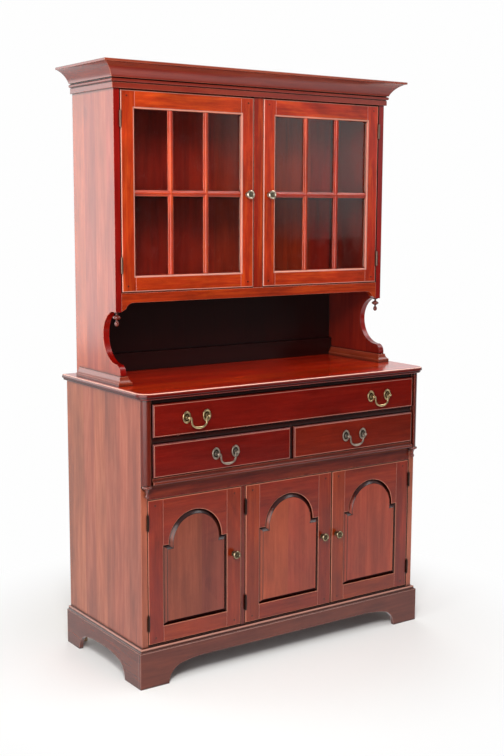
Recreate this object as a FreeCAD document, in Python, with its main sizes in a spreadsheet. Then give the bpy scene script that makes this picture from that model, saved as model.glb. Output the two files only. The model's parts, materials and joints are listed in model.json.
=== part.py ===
"""A step back cupboard: a glazed upper case standing on a lower case of drawers and doors.

X runs across, Y from front (-) to back (+), Z up; the floor is Z = 0 and the origin lies
under the middle of the whole piece. Every length is in millimetres.
"""
import FreeCAD, Part
import math
import os
import Sketcher

# name, millimetres, what it is
SIZES = (
    ("total_height", 2000, "floor to the top of the cornice"),
    # lower case
    ("lower_width", 1160, "over the lower sides"),
    ("lower_depth", 516, "back to the plane of the lower doors"),
    ("side_board", 22, "thickness of the case sides"),
    ("back_board", 8, "thickness of the back boards"),
    ("back_seam", 0.3, "gap between neighbouring back boards"),
    ("counter_top", 970, "height of the top board's face"),
    ("counter_thick", 21, "thickness of the top board"),
    ("counter_bead", 8.5, "height of the bead under the nosing"),
    ("counter_bead_set", 5, "how far that bead sits behind the nosing"),
    ("counter_overhang_side", 18, "top board beyond the sides"),
    ("counter_overhang_front", 18, "top board beyond the drawer fronts"),
    ("counter_corner", 43, "radius of the top board's front corners in plan"),
    ("drawer_step", 24, "drawer fronts before the lower doors"),
    ("post_width", 32, "face of the quarter round corner posts"),
    ("post_flat", 1, "flat beside the posts' rounding"),
    ("top_rail", 15, "rail over the long drawer"),
    ("middle_rail", 18, "rail between the drawer rows"),
    ("bead_rail", 22, "moulded rail under the small drawers"),
    ("bead_radius", 6, "its bead"),
    ("rail_set", 2, "rails behind the drawer fronts"),
    ("rail_depth", 50, "rails from front to back"),
    ("long_drawer_height", 110, "opening of the long drawer"),
    ("small_drawer_height", 112, "opening of the small drawers"),
    ("partition", 12, "upright between the small drawers"),
    ("frieze_height", 50, "rail over the lower doors"),
    ("face_board", 20, "thickness of rails and stiles of the faces"),
    ("dust_board", 18, "board under the drawers"),
    ("floor_rise", 4.1, "lower case's floor above the base moulding"),
    ("floor_board", 20, "its thickness"),
    ("shelf_rise", 235.5, "top of the lower shelf above that floor"),
    ("shelf_board", 18, "thickness of the shelves"),
    ("shelf_setback", 40, "shelves behind the doors"),
    ("mullion_width", 15, "upright between the left and middle doors"),
    ("meeting_shift", 8.5, "meeting line of the other two doors beyond a third of the width"),
    ("meeting_gap", 3, "gap between them"),
    ("runner_width", 28, "drawer runners"),
    # base
    ("base_height", 132.4, "top of the base moulding"),
    ("base_projection", 14.7, "base boards before the case"),
    ("base_mould", 12, "height of the base's moulded edge"),
    ("base_mould_fillet", 3, "flat above the moulding's hollow"),
    ("base_mould_lip", 4, "what is left of the board at its top"),
    ("foot_width", 107, "front feet"),
    ("rear_foot_width", 92, "rear feet on the sides"),
    ("foot_curve", 62, "radius of a foot's inner edge"),
    ("foot_curve_run", 44, "its run"),
    ("foot_ease_run", 99, "run of the shallow curve that joins the soffit"),
    ("foot_ease_rise", 11.67, "its rise"),
    ("block", 42, "glue blocks inside the feet"),
    ("block_lift", 2, "glue blocks above the floor"),
    ("side_rise", 7, "underside of the case sides above the soffit"),
    # doors
    ("door_thick", 22, "thickness of all doors"),
    ("door_ease", 2.5, "eased outer edge"),
    ("door_gap", 2, "gap above and below a door"),
    ("lock_gap", 1.5, "gap at a door's free edge"),
    ("stile_width", 55, "lower door stiles to the panel opening"),
    ("lower_rail_width", 54, "bottom rail of the lower doors"),
    ("arch_drop", 50, "door top to the crown of the arch"),
    ("arch_shoulder", 20.8, "level shoulder beside the arch of the narrowest door"),
    ("sticking_width", 14, "moulding round the panel opening"),
    ("sticking_depth", 7, "its depth"),
    ("panel_plane", 9, "door face to the front of the panel's tongue"),
    ("panel_thick", 8, "thickness of that tongue"),
    ("panel_lap", 8, "tongue behind the frame"),
    ("panel_clear", 0.5, "clearance round the tongue"),
    ("panel_groove", 1.5, "gap between moulding and raised field"),
    ("panel_bevel", 20.5, "width of the field's bevel"),
    ("panel_rise", 6, "height of the field"),
    # upper case
    ("upper_width", 1124, "over the upper sides"),
    ("upper_depth", 288, "depth of the upper case"),
    ("upper_setback", 43, "upper back before the lower back"),
    ("foot_reach", 26, "foot of an upper side before the upper face"),
    ("side_end", 237.5, "lower end of an upper side's front edge above the top board"),
    ("side_end_depth", 29, "depth of that end"),
    ("scallop_height", 158, "scallop's deepest point above the top board"),
    ("scallop_depth", 88, "depth of the scallop behind the upper face"),
    ("scallop_ledge", 67, "ledge under the scallop above the top board"),
    ("ledge_depth", 3, "ledge between the toe and the scallop"),
    ("toe_radius", 28, "quarter round over the foot"),
    ("niche_height", 298, "top board to the top of the rail under the glass doors"),
    ("apron_height", 32, "height of that rail"),
    ("apron_cusp_drop", 20, "drop of the curve near its ends"),
    ("apron_end_drop", 7, "further drop to where it meets the side"),
    ("apron_curve_run", 29, "run of its curve"),
    ("apron_cusp_run", 15, "run from the cusp to the side"),
    ("centre_stile", 38, "upright between the glass doors"),
    ("stile_set", 2, "uprights behind the door faces"),
    ("upper_board", 20, "top and bottom boards of the upper case"),
    ("cornice_gap", 6.5, "glass doors below the cornice"),
    ("upper_shelf_rise", 330, "top of the upper shelf above the upper case's floor"),
    ("back_rail_height", 65, "low rail at the back of the niche"),
    ("back_rail_thick", 16, "its thickness"),
    # glass doors
    ("glass_stile", 52, "stiles to the glass"),
    ("glass_top_rail", 59.5, "top rail to the glass"),
    ("glass_bottom_rail", 53.5, "bottom rail to the glass"),
    ("glass_sticking", 6, "moulding round the glass"),
    ("muntin_width", 19, "bars between the panes, at the back"),
    ("muntin_bead", 9, "bars at the face"),
    ("muntin_thick", 7, "back layer of the bars"),
    ("muntin_bead_thick", 4, "front layer of the bars"),
    ("muntin_set", 2, "bars behind the door face"),
    ("glass_thick", 3, "panes"),
    ("glass_lap", 6, "panes behind the frame"),
    ("glass_gap", 1, "gap between neighbouring panes"),
    # cornice
    ("cornice_height", 78, "height of the cornice"),
    ("cornice_projection", 60, "beyond the upper sides and face"),
    ("cornice_fillet", 8, "flat at the top"),
    ("cornice_step", 5, "step under that flat"),
    ("cornice_cove_bottom", 30, "lower end of the large hollow above the underside"),
    ("cornice_cove_set", 13, "its projection there"),
    ("cornice_cove", 75, "radius of the large hollow"),
    ("cornice_bead_set", 16, "projection of the bead"),
    ("cornice_bead_bottom", 20, "underside of the bead above the cornice's"),
    ("cornice_bead_height", 8, "height of the bead"),
    ("side_top_drop", 10, "upper sides below the top of the cornice"),
    # shoe mouldings and turned drops
    ("shoe_height", 30, "moulding round an upper foot"),
    ("shoe_tread", 11, "its plain lower part"),
    ("shoe_projection", 14, "its projection"),
    ("shoe_lip", 4, "its projection at the top"),
    ("pendant_length", 48, "turned drop under an upper side"),
    ("pendant_ball", 13, "radius of its ball"),
    ("pendant_tip", 7.5, "radius of its tip"),
    ("pendant_collar", 9, "radius of its collar"),
    ("pendant_collar_thick", 3, "thickness of its collar"),
    ("pendant_ball_high", 14, "height of its ball"),
    ("turned_neck", 3.5, "radius of the necks between"),
    ("turned_gap", 4, "length of the necks between"),
    ("drop_length", 42, "turned drop under a corner post"),
    ("drop_radius", 16.5, "radius of its cap"),
    ("drop_cap", 8, "height of its cap"),
    ("drop_cap_round", 2, "swelling of the cap"),
    ("drop_shoulder", 2, "ledge between cap and taper"),
    ("drop_taper", 16, "length of its hollow taper"),
    ("drop_stem", 4, "radius of its stem"),
    ("drop_tip", 6.5, "radius of its small ball"),
    ("turned_point", 1, "height of the blunt point of each drop"),
    # hardware
    ("hinge_height", 50, "hinge barrels"),
    ("barrel_radius", 3.2, "hinge barrels"),
    ("barrel_gap", 0.1, "hinge barrels before the faces of door and case"),
    ("pin_radius", 1.6, "hinge pins"),
    ("pin_clear", 0.05, "running clearance of pins, on the radius"),
    ("leaf_thick", 1, "hinge leaves"),
    ("leaf_gap", 0.4, "gap between the leaves"),
    ("leaf_width", 17, "hinge leaves from front to back"),
    ("knuckle_gap", 0.2, "gap between knuckles"),
    ("glass_hinge_top", 92.5, "middle of a glass door's upper hinge below the door's top"),
    ("glass_hinge_bottom", 88, "middle of its lower hinge above the door's bottom"),
    ("lower_hinge_top", 73, "middle of a lower door's upper hinge below the door's top"),
    ("lower_hinge_bottom", 73.5, "middle of its lower hinge above the door's bottom"),
    ("knob_radius", 14.5, "lower door knobs"),
    ("glass_knob_radius", 16, "glass door knobs"),
    ("knob_length", 24, "projection of the knobs"),
    ("knob_base", 8, "radius of a knob's flange"),
    ("knob_base_thick", 2, "its thickness"),
    ("knob_neck", 4.5, "radius of a knob's neck"),
    ("knob_head", 13, "length of a knob's head"),
    ("knob_dish", 3, "hollow in its front"),
    ("knob_edge", 3, "width of its rounded edge"),
    ("knob_edge_deep", 2, "depth of that edge"),
    ("knob_rim", 2, "width of the flat rim round the hollow"),
    ("knob_rise", 253.5, "lower knobs above the bottom of their doors"),
    ("glass_knob_rise", 318.5, "glass door knobs above the bottom of their doors"),
    ("glass_knob_inset", 25, "knob from a glass door's free edge"),
    ("left_knob_inset", 30, "knob from the left door's free edge"),
    ("middle_knob_inset", 40, "knob from the middle door's free edge"),
    ("right_knob_inset", 21, "knob from the right door's free edge"),
    ("pull_boring", 76.2, "between the posts of a pull"),
    ("pull_reach", 16, "post's eye before the drawer face"),
    ("rosette_height", 40, "oval rosette"),
    ("rosette_width", 30, "oval rosette"),
    ("rosette_thick", 3, "its rim"),
    ("rosette_rim", 4, "width of its rim"),
    ("rosette_dish", 1.4, "depth of its hollow"),
    ("post_shank", 3.6, "radius of a pull's post"),
    ("post_eye", 5, "radius of the post's eye"),
    ("bail_gap", 0.1, "bail beside the posts' eyes"),
    ("bail_knuckle", 3, "radius of the bail's rounded tops"),
    ("bail_splay", 3, "how far each leg leans out"),
    ("bail_drop", 35, "axis to the middle of the grip"),
    ("bail_rod", 2.4, "radius of the legs"),
    ("bail_grip", 4.5, "radius of the grip's middle"),
    ("bail_corner", 13, "radius of its lower corners"),
    ("bail_pin", 1.5, "radius of its pivots"),
    ("bail_pin_play", 1.5, "bore past the end of a pivot"),
    ("long_pull_centre", 385, "long drawer's pulls from the centre"),
    ("long_pull_rise", 57, "their posts above the bottom of the drawer's opening"),
    ("small_pull_centre", 273, "small drawers' pulls from the centre"),
    ("small_pull_rise", 56, "their posts above the bottom of the drawer's opening"),
    # drawers
    ("drawer_front", 20, "thickness of the drawer fronts"),
    ("drawer_ease", 4, "their moulded edge"),
    ("drawer_gap", 1.2, "gap round a drawer front"),
    ("drawer_run", 0.3, "running clearance under a drawer"),
    ("drawer_side", 12, "sides and back of the drawer boxes"),
    ("drawer_bottom", 6, "drawer bottoms"),
    ("drawer_bottom_rise", 4, "drawer bottoms above the lower edges of the box"),
    ("drawer_rear_gap", 52, "drawer boxes before the back boards"),
    ("box_inset", 2, "box sides behind the ends of the front"),
    ("box_drop", 14, "box sides below the opening's top"),
)

LOWER_DOORS = 3
PANE_COLUMNS = 3
LOWER_BACK_BOARDS = 6
UPPER_BACK_BOARDS = 8
# the share of each layer's height that its rounding takes
NOSING_ROUND = 0.48
BEAD_ROUND = 0.7
# a grip's swelling starts inside the bail's rod, at this share of the rod's radius
SWELL_START = 0.9
# how far a cutting shape runs past what it cuts, in millimetres
MARGIN = 1

document = FreeCAD.newDocument("step_back_cupboard")
sheet = document.addObject("Spreadsheet::Sheet", "Sizes")
for row, (alias, number, note) in enumerate(SIZES, start=1):
    sheet.set(f"A{row}", alias)
    sheet.set(f"B{row}", str(number))
    sheet.set(f"C{row}", note)
    sheet.setAlias(f"B{row}", alias)
document.recompute()


class Length:
    """A length read from the sheet, or worked out from such lengths, with its expression."""

    def __init__(self, value, text):
        self.value = value
        self.text = text

    def joined(self, other, sign, value):
        return Length(value, f"({self.text} {sign} {length(other).text})")

    def __add__(self, other):
        return self.joined(other, "+", self.value + length(other).value)

    def __sub__(self, other):
        return self.joined(other, "-", self.value - length(other).value)

    def __mul__(self, other):
        return self.joined(other, "*", self.value * length(other).value)

    def __truediv__(self, other):
        return self.joined(other, "/", self.value / length(other).value)

    def __neg__(self):
        return Length(-self.value, f"(0 - {self.text})")

    def root(self):
        return Length(math.sqrt(self.value), f"sqrt({self.text})")


def length(number):
    """A plain number as a Length."""
    return number if isinstance(number, Length) else Length(number, repr(number))


class Sizes:
    """Reads a named size from the sheet."""

    def __getattr__(self, alias):
        return Length(float(sheet.get(alias)), f"Sizes.{alias}")


size = Sizes()
pieces = []


def bind(thing, place, value):
    thing.setExpression(place, length(value).text)


def new(kind, name):
    return document.addObject(kind, name)


def keep(thing, label):
    """Label a finished sub-part; its label names its file."""
    thing.Label = label
    pieces.append(thing)
    return thing


def group(label, members):
    """Several separate solids in one sub-part."""
    compound = new("Part::Compound", label)
    compound.Links = members
    return keep(compound, label)


def fused(name, members):
    union = new("Part::MultiFuse", name)
    union.Shapes = members
    union.Refine = True
    return union


def cut(name, base, tool):
    result = new("Part::Cut", name)
    result.Base = base
    result.Tool = tool
    return result


def common(name, base, tool):
    result = new("Part::Common", name)
    result.Base = base
    result.Tool = tool
    return result


def board(name, left, right, front, back, bottom, top):
    """A rectangular board between six planes."""
    box = new("Part::Box", name)
    bind(box, "Length", length(right) - left)
    bind(box, "Width", length(back) - front)
    bind(box, "Height", length(top) - bottom)
    bind(box, "Placement.Base.x", left)
    bind(box, "Placement.Base.y", front)
    bind(box, "Placement.Base.z", bottom)
    return box


def rod(name, radius, long, x, y, z, turn=None):
    """A round bar from a point, upright or turned along another axis."""
    cylinder = new("Part::Cylinder", name)
    if turn:
        cylinder.Placement = FreeCAD.Placement(FreeCAD.Vector(), turn)
    bind(cylinder, "Radius", radius)
    bind(cylinder, "Height", long)
    bind(cylinder, "Placement.Base.x", x)
    bind(cylinder, "Placement.Base.y", y)
    bind(cylinder, "Placement.Base.z", z)
    return cylinder


def ball(name, radius, x, y, z):
    sphere = new("Part::Sphere", name)
    bind(sphere, "Radius", radius)
    bind(sphere, "Placement.Base.x", x)
    bind(sphere, "Placement.Base.y", y)
    bind(sphere, "Placement.Base.z", z)
    return sphere


ALONG_X = FreeCAD.Rotation(FreeCAD.Vector(0, 1, 0), 90)
ALONG_FRONT = FreeCAD.Rotation(FreeCAD.Vector(1, 0, 0), 90)


# ---- sketches -------------------------------------------------------------------------

def sketch_on(body, name, role, offset=(0, 0, 0)):
    """An empty sketch on one of a body's own planes, moved by an offset in that plane's axes."""
    sketch = body.newObject("Sketcher::SketchObject", name)
    plane = next(item for item in body.Origin.OriginFeatures if item.Role == role)
    sketch.AttachmentSupport = [(plane, "")]
    sketch.MapMode = "FlatFace"
    for axis, value in zip("xyz", offset):
        bind(sketch, f"AttachmentOffset.Base.{axis}", value)
    return sketch


def arc_middle(start, end, radius, bulge):
    """The middle point of the smaller arc from start to end, left of travel for bulge 1."""
    across = end - start
    half = across.Length / 2
    rise = radius - math.sqrt(radius * radius - half * half)
    left = FreeCAD.Vector(-across.y, across.x, 0).normalize()
    return (start + end) * 0.5 + left * (rise * bulge)


def draw(sketch, corners):
    """Draw a closed outline.

    A corner is (u, v), or (u, v, radius, bulge) where the edge that leaves it is an arc.
    """
    first = sketch.GeometryCount
    count = len(corners)
    points = [FreeCAD.Vector(length(c[0]).value, length(c[1]).value, 0) for c in corners]
    edges = []
    starts = []
    for index, corner in enumerate(corners):
        start = points[index]
        end = points[(index + 1) % count]
        if len(corner) == 2:
            edges.append(Part.LineSegment(start, end))
            starts.append(1)
            continue
        middle = arc_middle(start, end, length(corner[2]).value, corner[3])
        arc = Part.Arc(start, middle, end)
        edges.append(arc)
        counterclockwise = corner[3] < 0
        starts.append(1 if counterclockwise else 2)
    sketch.addGeometry(edges, False)
    for index, corner in enumerate(corners):
        following = (index + 1) % count
        edge = first + index
        end_point = 3 - starts[index]
        sketch.addConstraint(Sketcher.Constraint(
            "Coincident", edge, end_point, first + following, starts[following]))
        for kind, value in (("DistanceX", corner[0]), ("DistanceY", corner[1])):
            number = sketch.addConstraint(Sketcher.Constraint(
                kind, -1, 1, edge, starts[index], length(value).value))
            bind(sketch, f"Constraints[{number}]", value)
        if len(corner) == 4:
            number = sketch.addConstraint(
                Sketcher.Constraint("Radius", edge, length(corner[2]).value))
            bind(sketch, f"Constraints[{number}]", corner[2])
    return sketch


def rectangle(left, right, bottom, top):
    return [(left, bottom), (right, bottom), (right, top), (left, top)]


def pad(body, name, sketch, long):
    feature = body.newObject("PartDesign::Pad", name)
    feature.Profile = sketch
    bind(feature, "Length", long)
    return feature


def pocket(body, name, sketch, deep):
    feature = body.newObject("PartDesign::Pocket", name)
    feature.Profile = sketch
    bind(feature, "Length", deep)
    return feature


def loft(body, kind, name, first, last):
    feature = body.newObject(f"PartDesign::{kind}Loft", name)
    feature.Profile = first
    feature.Sections = [last]
    feature.Ruled = True
    return feature


def new_body(name):
    return new("PartDesign::Body", name)


def turned(name, role, offset, axis, outline):
    """A turned solid about an axis of its own sketch."""
    body = new_body(name)
    sketch = draw(sketch_on(body, f"{name}_profile", role, offset), outline)
    feature = body.newObject("PartDesign::Revolution", f"{name}_turning")
    feature.Profile = sketch
    feature.ReferenceAxis = (sketch, [axis])
    feature.Angle = 360
    return body


def prism(name, role, start, long, outline):
    """One outline, padded from the plane at start along that plane's normal."""
    body = new_body(name)
    sketch = draw(sketch_on(body, f"{name}_outline", role, (0, 0, start)), outline)
    pad(body, f"{name}_pad", sketch, long)
    return body


# ---- shared planes --------------------------------------------------------------------

total_depth = size.lower_depth + size.drawer_step + size.pull_reach + size.bail_grip
back = total_depth / 2
lower_face = back - size.lower_depth
drawer_face = lower_face - size.drawer_step
lower_half = size.lower_width / 2
lower_inside = lower_half - size.side_board
lower_rear = back - size.back_board
upper_half = size.upper_width / 2
upper_inside = upper_half - size.side_board
upper_back = back - size.upper_setback
upper_face = upper_back - size.upper_depth
upper_rear = upper_back - size.back_board
counter_under = size.counter_top - size.counter_thick
post_inside = lower_half - size.post_width
post_radius = size.drawer_step - size.post_flat
long_top = counter_under - size.top_rail
long_bottom = long_top - size.long_drawer_height
small_top = long_bottom - size.middle_rail
small_bottom = small_top - size.small_drawer_height
step_bottom = small_bottom - size.bead_rail
frieze_bottom = step_bottom - size.frieze_height
rail_face = drawer_face + size.rail_set
rail_back = rail_face + size.rail_depth
foot_rest = size.foot_curve - size.foot_curve_run
knee = (size.foot_curve * size.foot_curve - foot_rest * foot_rest).root()
base_soffit = knee + size.foot_ease_rise
side_bottom = base_soffit + size.side_rise
floor_top = size.base_height + size.floor_rise
niche_top = size.counter_top + size.niche_height
cornice_bottom = size.total_height - size.cornice_height
upper_door_top = cornice_bottom - size.cornice_gap
side_top = size.total_height - size.side_top_drop
side_end = size.counter_top + size.side_end
hinge_gap = size.leaf_thick * 2 + size.leaf_gap
axis_before_face = size.barrel_radius + size.barrel_gap
mullion_centre = -lower_inside / LOWER_DOORS
meeting_centre = lower_inside / LOWER_DOORS + size.meeting_shift
right_door_width = lower_inside - hinge_gap - meeting_centre - size.meeting_gap / 2
arch_radius = right_door_width / 2 - size.stile_width - size.arch_shoulder


# ---- lower case -----------------------------------------------------------------------

def lower_sides():
    for hand, left in (("left", -lower_half), ("right", lower_inside)):
        name = f"lower_side_{hand}"
        side = board(name, left, left + size.side_board, lower_face, back,
                     side_bottom, counter_under)
        keep(side, name)


def top_board():
    """Round-cornered board: a nosing over a bead that sits a little behind it."""
    body = new_body("top_board")
    nosing = size.counter_thick - size.counter_bead
    layers = (("bead", counter_under, size.counter_bead, size.counter_bead_set),
              ("nosing", counter_under + size.counter_bead, nosing, length(0)))
    for layer, bottom, high, inset in layers:
        half = lower_half + size.counter_overhang_side - inset
        front = drawer_face - size.counter_overhang_front + inset
        radius = size.counter_corner - inset
        outline = [(-half, back), (-half, front + radius, radius, -1), (-half + radius, front),
                   (half - radius, front, radius, -1), (half, front + radius), (half, back)]
        sketch = draw(sketch_on(body, f"top_{layer}_outline", "XY_Plane", (0, 0, bottom)), outline)
        feature = pad(body, f"top_{layer}", sketch, high)
    document.recompute()
    rounds = (("nosing_round", size.counter_top, nosing * NOSING_ROUND),
              ("bead_round", counter_under, size.counter_bead * BEAD_ROUND))
    for name, level, radius in rounds:
        edges = [f"Edge{number}" for number, edge in enumerate(feature.Shape.Edges, start=1)
                 if lies_at(edge, level.value)]
        fillet = body.newObject("PartDesign::Fillet", name)
        fillet.Base = (feature, edges)
        bind(fillet, "Radius", radius)
        document.recompute()
        feature = fillet
    keep(body, "top_board")


def lies_at(edge, level):
    """Whether an edge of the top board lies at a level, away from the back."""
    box = edge.BoundBox
    flat = abs(box.ZMin - level) < 0.001 and abs(box.ZMax - level) < 0.001
    return flat and box.YMin < back.value - MARGIN


def corner_posts():
    """Quarter round posts before the sides, from the bead rail to the top board."""
    posts = []
    for hand, sign in (("left", -1), ("right", 1)):
        inner = post_inside * sign
        outer = lower_half * sign
        turn = outer - post_radius * sign
        outline = [(inner, lower_face), (inner, drawer_face),
                   (turn, drawer_face, post_radius, -sign),
                   (outer, drawer_face + post_radius), (outer, lower_face)]
        posts.append(prism(f"corner_post_{hand}", "XY_Plane", step_bottom,
                           counter_under - step_bottom, outline))
    group("corner_posts", posts)


def drawer_rails():
    top = board("top_rail", -post_inside, post_inside, rail_face, rail_back,
                long_top, counter_under)
    middle = board("middle_rail", -post_inside, post_inside, rail_face, rail_back,
                   small_top, long_bottom)
    face = rail_face
    bead_top = step_bottom + size.bead_radius * 2
    outline = [(lower_face, step_bottom), (face, step_bottom, size.bead_radius, 1),
               (face - size.bead_radius, step_bottom + size.bead_radius, size.bead_radius, 1),
               (face, bead_top), (face, small_bottom), (lower_face, small_bottom)]
    bead = prism("bead_rail_piece", "YZ_Plane", -post_inside, post_inside * 2, outline)
    group("drawer_rails", [top, middle, bead])


def drawer_guides():
    half = size.partition / 2
    members = [
        board("dust_board_piece", -lower_inside, lower_inside, lower_face, lower_rear,
              small_bottom - size.dust_board, small_bottom),
        board("partition_piece", -half, half, rail_face, lower_rear, small_bottom, small_top),
        board("left_runner", -lower_inside, -lower_inside + size.runner_width, rail_back,
              lower_rear, small_top, long_bottom),
        board("right_runner", lower_inside - size.runner_width, lower_inside, rail_back,
              lower_rear, small_top, long_bottom)]
    group("drawer_guides", members)


def lower_face_frame():
    frieze_top = small_bottom - size.dust_board
    half = size.mullion_width / 2
    face = lower_face + size.stile_set
    frieze = board("frieze_rail", -lower_inside, lower_inside, lower_face,
                   lower_face + size.face_board, frieze_bottom, frieze_top)
    mullion = board("door_mullion", mullion_centre - half, mullion_centre + half,
                    face, face + size.face_board, floor_top, frieze_bottom)
    group("lower_face_frame", [frieze, mullion])


def lower_boards():
    floor = board("lower_bottom_board", -lower_inside, lower_inside, lower_face, lower_rear,
                  floor_top - size.floor_board, floor_top)
    keep(floor, "lower_bottom_board")
    front = lower_face + size.shelf_setback
    level = floor_top + size.shelf_rise
    shelf = board("lower_shelf", -lower_inside, lower_inside, front, lower_rear,
                  level - size.shelf_board, level)
    keep(shelf, "lower_shelf")


def back_boards(label, half, front, rear, bottom, top, count):
    """Upright boards side by side across a back, a hair apart."""
    pitch = half * 2 / count
    members = []
    for number in range(count):
        left = -half + pitch * number
        right = left + pitch - (0 if number == count - 1 else size.back_seam)
        members.append(board(f"{label}_{number + 1}", left, right, front, rear, bottom, top))
    group(label, members)


def tangent_radius(along, across):
    """Radius of an arc that starts along one axis and ends this far along and across it."""
    along = length(along)
    across = length(across)
    return (along * along + across * across) / (across * 2)


def bracket_outline(left, right, left_foot, right_foot, top):
    """Base board seen square on, with its feet and the cut-out between them."""
    ease = tangent_radius(size.foot_ease_run, size.foot_ease_rise)
    inner_left = left + left_foot
    inner_right = right - right_foot
    return [(left, 0), (inner_left, 0, size.foot_curve, 1),
            (inner_left + size.foot_curve_run, knee, ease, 1),
            (inner_left + size.foot_curve_run + size.foot_ease_run, base_soffit),
            (inner_right - size.foot_curve_run - size.foot_ease_run, base_soffit, ease, 1),
            (inner_right - size.foot_curve_run, knee, size.foot_curve, 1),
            (inner_right, 0), (right, 0), (right, top), (left, top)]


def moulding_cut(body, name, role, start, deep, base, sign, profile, reach):
    """Pocket away what lies outside a moulding.

    The profile runs from the bottom up as (projection, height) from the plane at base, on
    the side that sign names, with (projection, height, radius, bulge) where an arc leaves.
    """
    corners = []
    for point in profile:
        corner = (base + length(point[0]) * sign, point[1])
        if len(point) == 4:
            corner += (point[2], point[3] * sign)
        corners.append(corner)
    outside = base + length(reach) * sign
    corners += [(outside, profile[-1][1]), (outside, profile[0][1])]
    sketch = draw(sketch_on(body, name, role, (0, 0, start)), corners)
    return pocket(body, f"{name}_cut", sketch, deep)


def base_profile():
    lip = size.base_mould_lip
    hollow = size.base_projection - lip
    low = size.base_height - size.base_mould
    high = size.base_height - size.base_mould_fillet
    return [(size.base_projection, low, tangent_radius(hollow, high - low), 1),
            (lip, high), (lip, size.base_height)]


def bracket_base():
    """Front board between two mitre-moulded ends, and a side board behind it on each hand."""
    half = lower_half + size.base_projection
    front = lower_face - size.base_projection
    reach = size.base_projection + MARGIN
    body = new_body("base_front")
    outline = bracket_outline(-half, half, size.foot_width, size.foot_width, size.base_height)
    sketch = draw(sketch_on(body, "base_front_outline", "XZ_Plane", (0, 0, -lower_face)), outline)
    pad(body, "base_front_pad", sketch, size.base_projection)
    moulding_cut(body, "base_front_edge", "YZ_Plane", half + MARGIN, half * 2 + MARGIN * 2,
                 lower_face, -1, base_profile(), reach)
    for hand, sign in (("left", -1), ("right", 1)):
        moulding_cut(body, f"base_{hand}_end", "XZ_Plane", -front + MARGIN,
                     size.base_projection + MARGIN * 2, lower_half * sign, sign,
                     base_profile(), reach)
    members = [body]
    for hand, sign in (("left", -1), ("right", 1)):
        side = new_body(f"base_{hand}")
        outline = bracket_outline(front, back, size.foot_width, size.rear_foot_width,
                                  size.base_height)
        start = -half if sign < 0 else lower_half
        sketch = draw(sketch_on(side, f"base_{hand}_outline", "YZ_Plane", (0, 0, start)), outline)
        pad(side, f"base_{hand}_pad", sketch, size.base_projection)
        moulding_cut(side, f"base_{hand}_edge", "XZ_Plane", -front + MARGIN,
                     size.lower_depth + size.base_projection + MARGIN * 2, lower_half * sign,
                     sign, base_profile(), reach)
        behind = board(f"base_{hand}_behind", -half * 2, half * 2, lower_face, back + MARGIN,
                       -MARGIN, size.base_height + MARGIN)
        members.append(common(f"base_{hand}_board", side, behind))
    group("bracket_base", members)


def base_blocks():
    """Square glue blocks inside the feet, under the case sides."""
    members = []
    for hand, left in (("left", -lower_half), ("right", lower_half - size.block)):
        for end, front in (("front", lower_face), ("rear", back - size.block)):
            members.append(board(f"block_{hand}_{end}", left, left + size.block, front,
                                 front + size.block, size.block_lift, side_bottom))
    group("base_blocks", members)


# ---- upper case -----------------------------------------------------------------------

def upper_sides():
    """Side boards with a scallop cut between the glazed part and the foot."""
    deep = upper_face + size.scallop_depth
    middle = size.counter_top + size.scallop_height
    ledge = size.counter_top + size.scallop_ledge
    toe = upper_face - size.foot_reach
    ledge_front = toe + size.toe_radius
    ledge_back = ledge_front + size.ledge_depth
    end_back = upper_face + size.side_end_depth
    lower = tangent_radius(middle - ledge, deep - ledge_back)
    upper = tangent_radius(side_end - middle, deep - end_back)
    outline = [(upper_back, size.counter_top), (toe, size.counter_top),
               (toe, ledge - size.toe_radius, size.toe_radius, 1), (ledge_front, ledge),
               (ledge_back, ledge, lower, -1), (deep, middle, upper, -1), (end_back, side_end),
               (upper_face, side_end), (upper_face, side_top), (upper_back, side_top)]
    for hand, start in (("left", -upper_half), ("right", upper_inside)):
        name = f"upper_side_{hand}"
        keep(prism(name, "YZ_Plane", start, size.side_board, outline), name)


def upper_boards():
    face_back = upper_face + size.face_board
    floor = board("upper_bottom_board", -upper_inside, upper_inside, face_back, upper_rear,
                  niche_top - size.upper_board, niche_top)
    keep(floor, "upper_bottom_board")
    top_under = upper_door_top + size.door_gap
    top = board("upper_top_board", -upper_inside, upper_inside, upper_face, upper_rear,
                top_under, top_under + size.upper_board)
    keep(top, "upper_top_board")
    shelf_front = upper_face + size.shelf_setback
    level = niche_top + size.upper_shelf_rise
    shelf = board("upper_shelf", -upper_inside, upper_inside, shelf_front, upper_rear,
                  level - size.shelf_board, level)
    keep(shelf, "upper_shelf")
    rail = board("niche_back_rail", -upper_inside, upper_inside,
                 upper_rear - size.back_rail_thick, upper_rear, size.counter_top,
                 size.counter_top + size.back_rail_height)
    keep(rail, "niche_back_rail")


def upper_face_frame():
    """The shaped rail under the glass doors and the stile between them."""
    cusp = upper_inside - size.apron_cusp_run
    straight = cusp - size.apron_curve_run
    curve = tangent_radius(size.apron_curve_run, size.apron_cusp_drop)
    bottom = niche_top - size.apron_height
    cusp_level = bottom - size.apron_cusp_drop
    end_level = cusp_level - size.apron_end_drop
    outline = [(-upper_inside, end_level), (-cusp, cusp_level, curve, 1), (-straight, bottom),
               (straight, bottom, curve, 1), (cusp, cusp_level), (upper_inside, end_level),
               (upper_inside, niche_top), (-upper_inside, niche_top)]
    apron = prism("apron_rail", "XZ_Plane", -(upper_face + size.face_board), size.face_board,
                  outline)
    half = size.centre_stile / 2
    front = upper_face + size.stile_set
    stile = board("centre_stile_piece", -half, half, front, front + size.face_board,
                  niche_top, upper_door_top + size.door_gap)
    group("upper_face_frame", [apron, stile])


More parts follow.
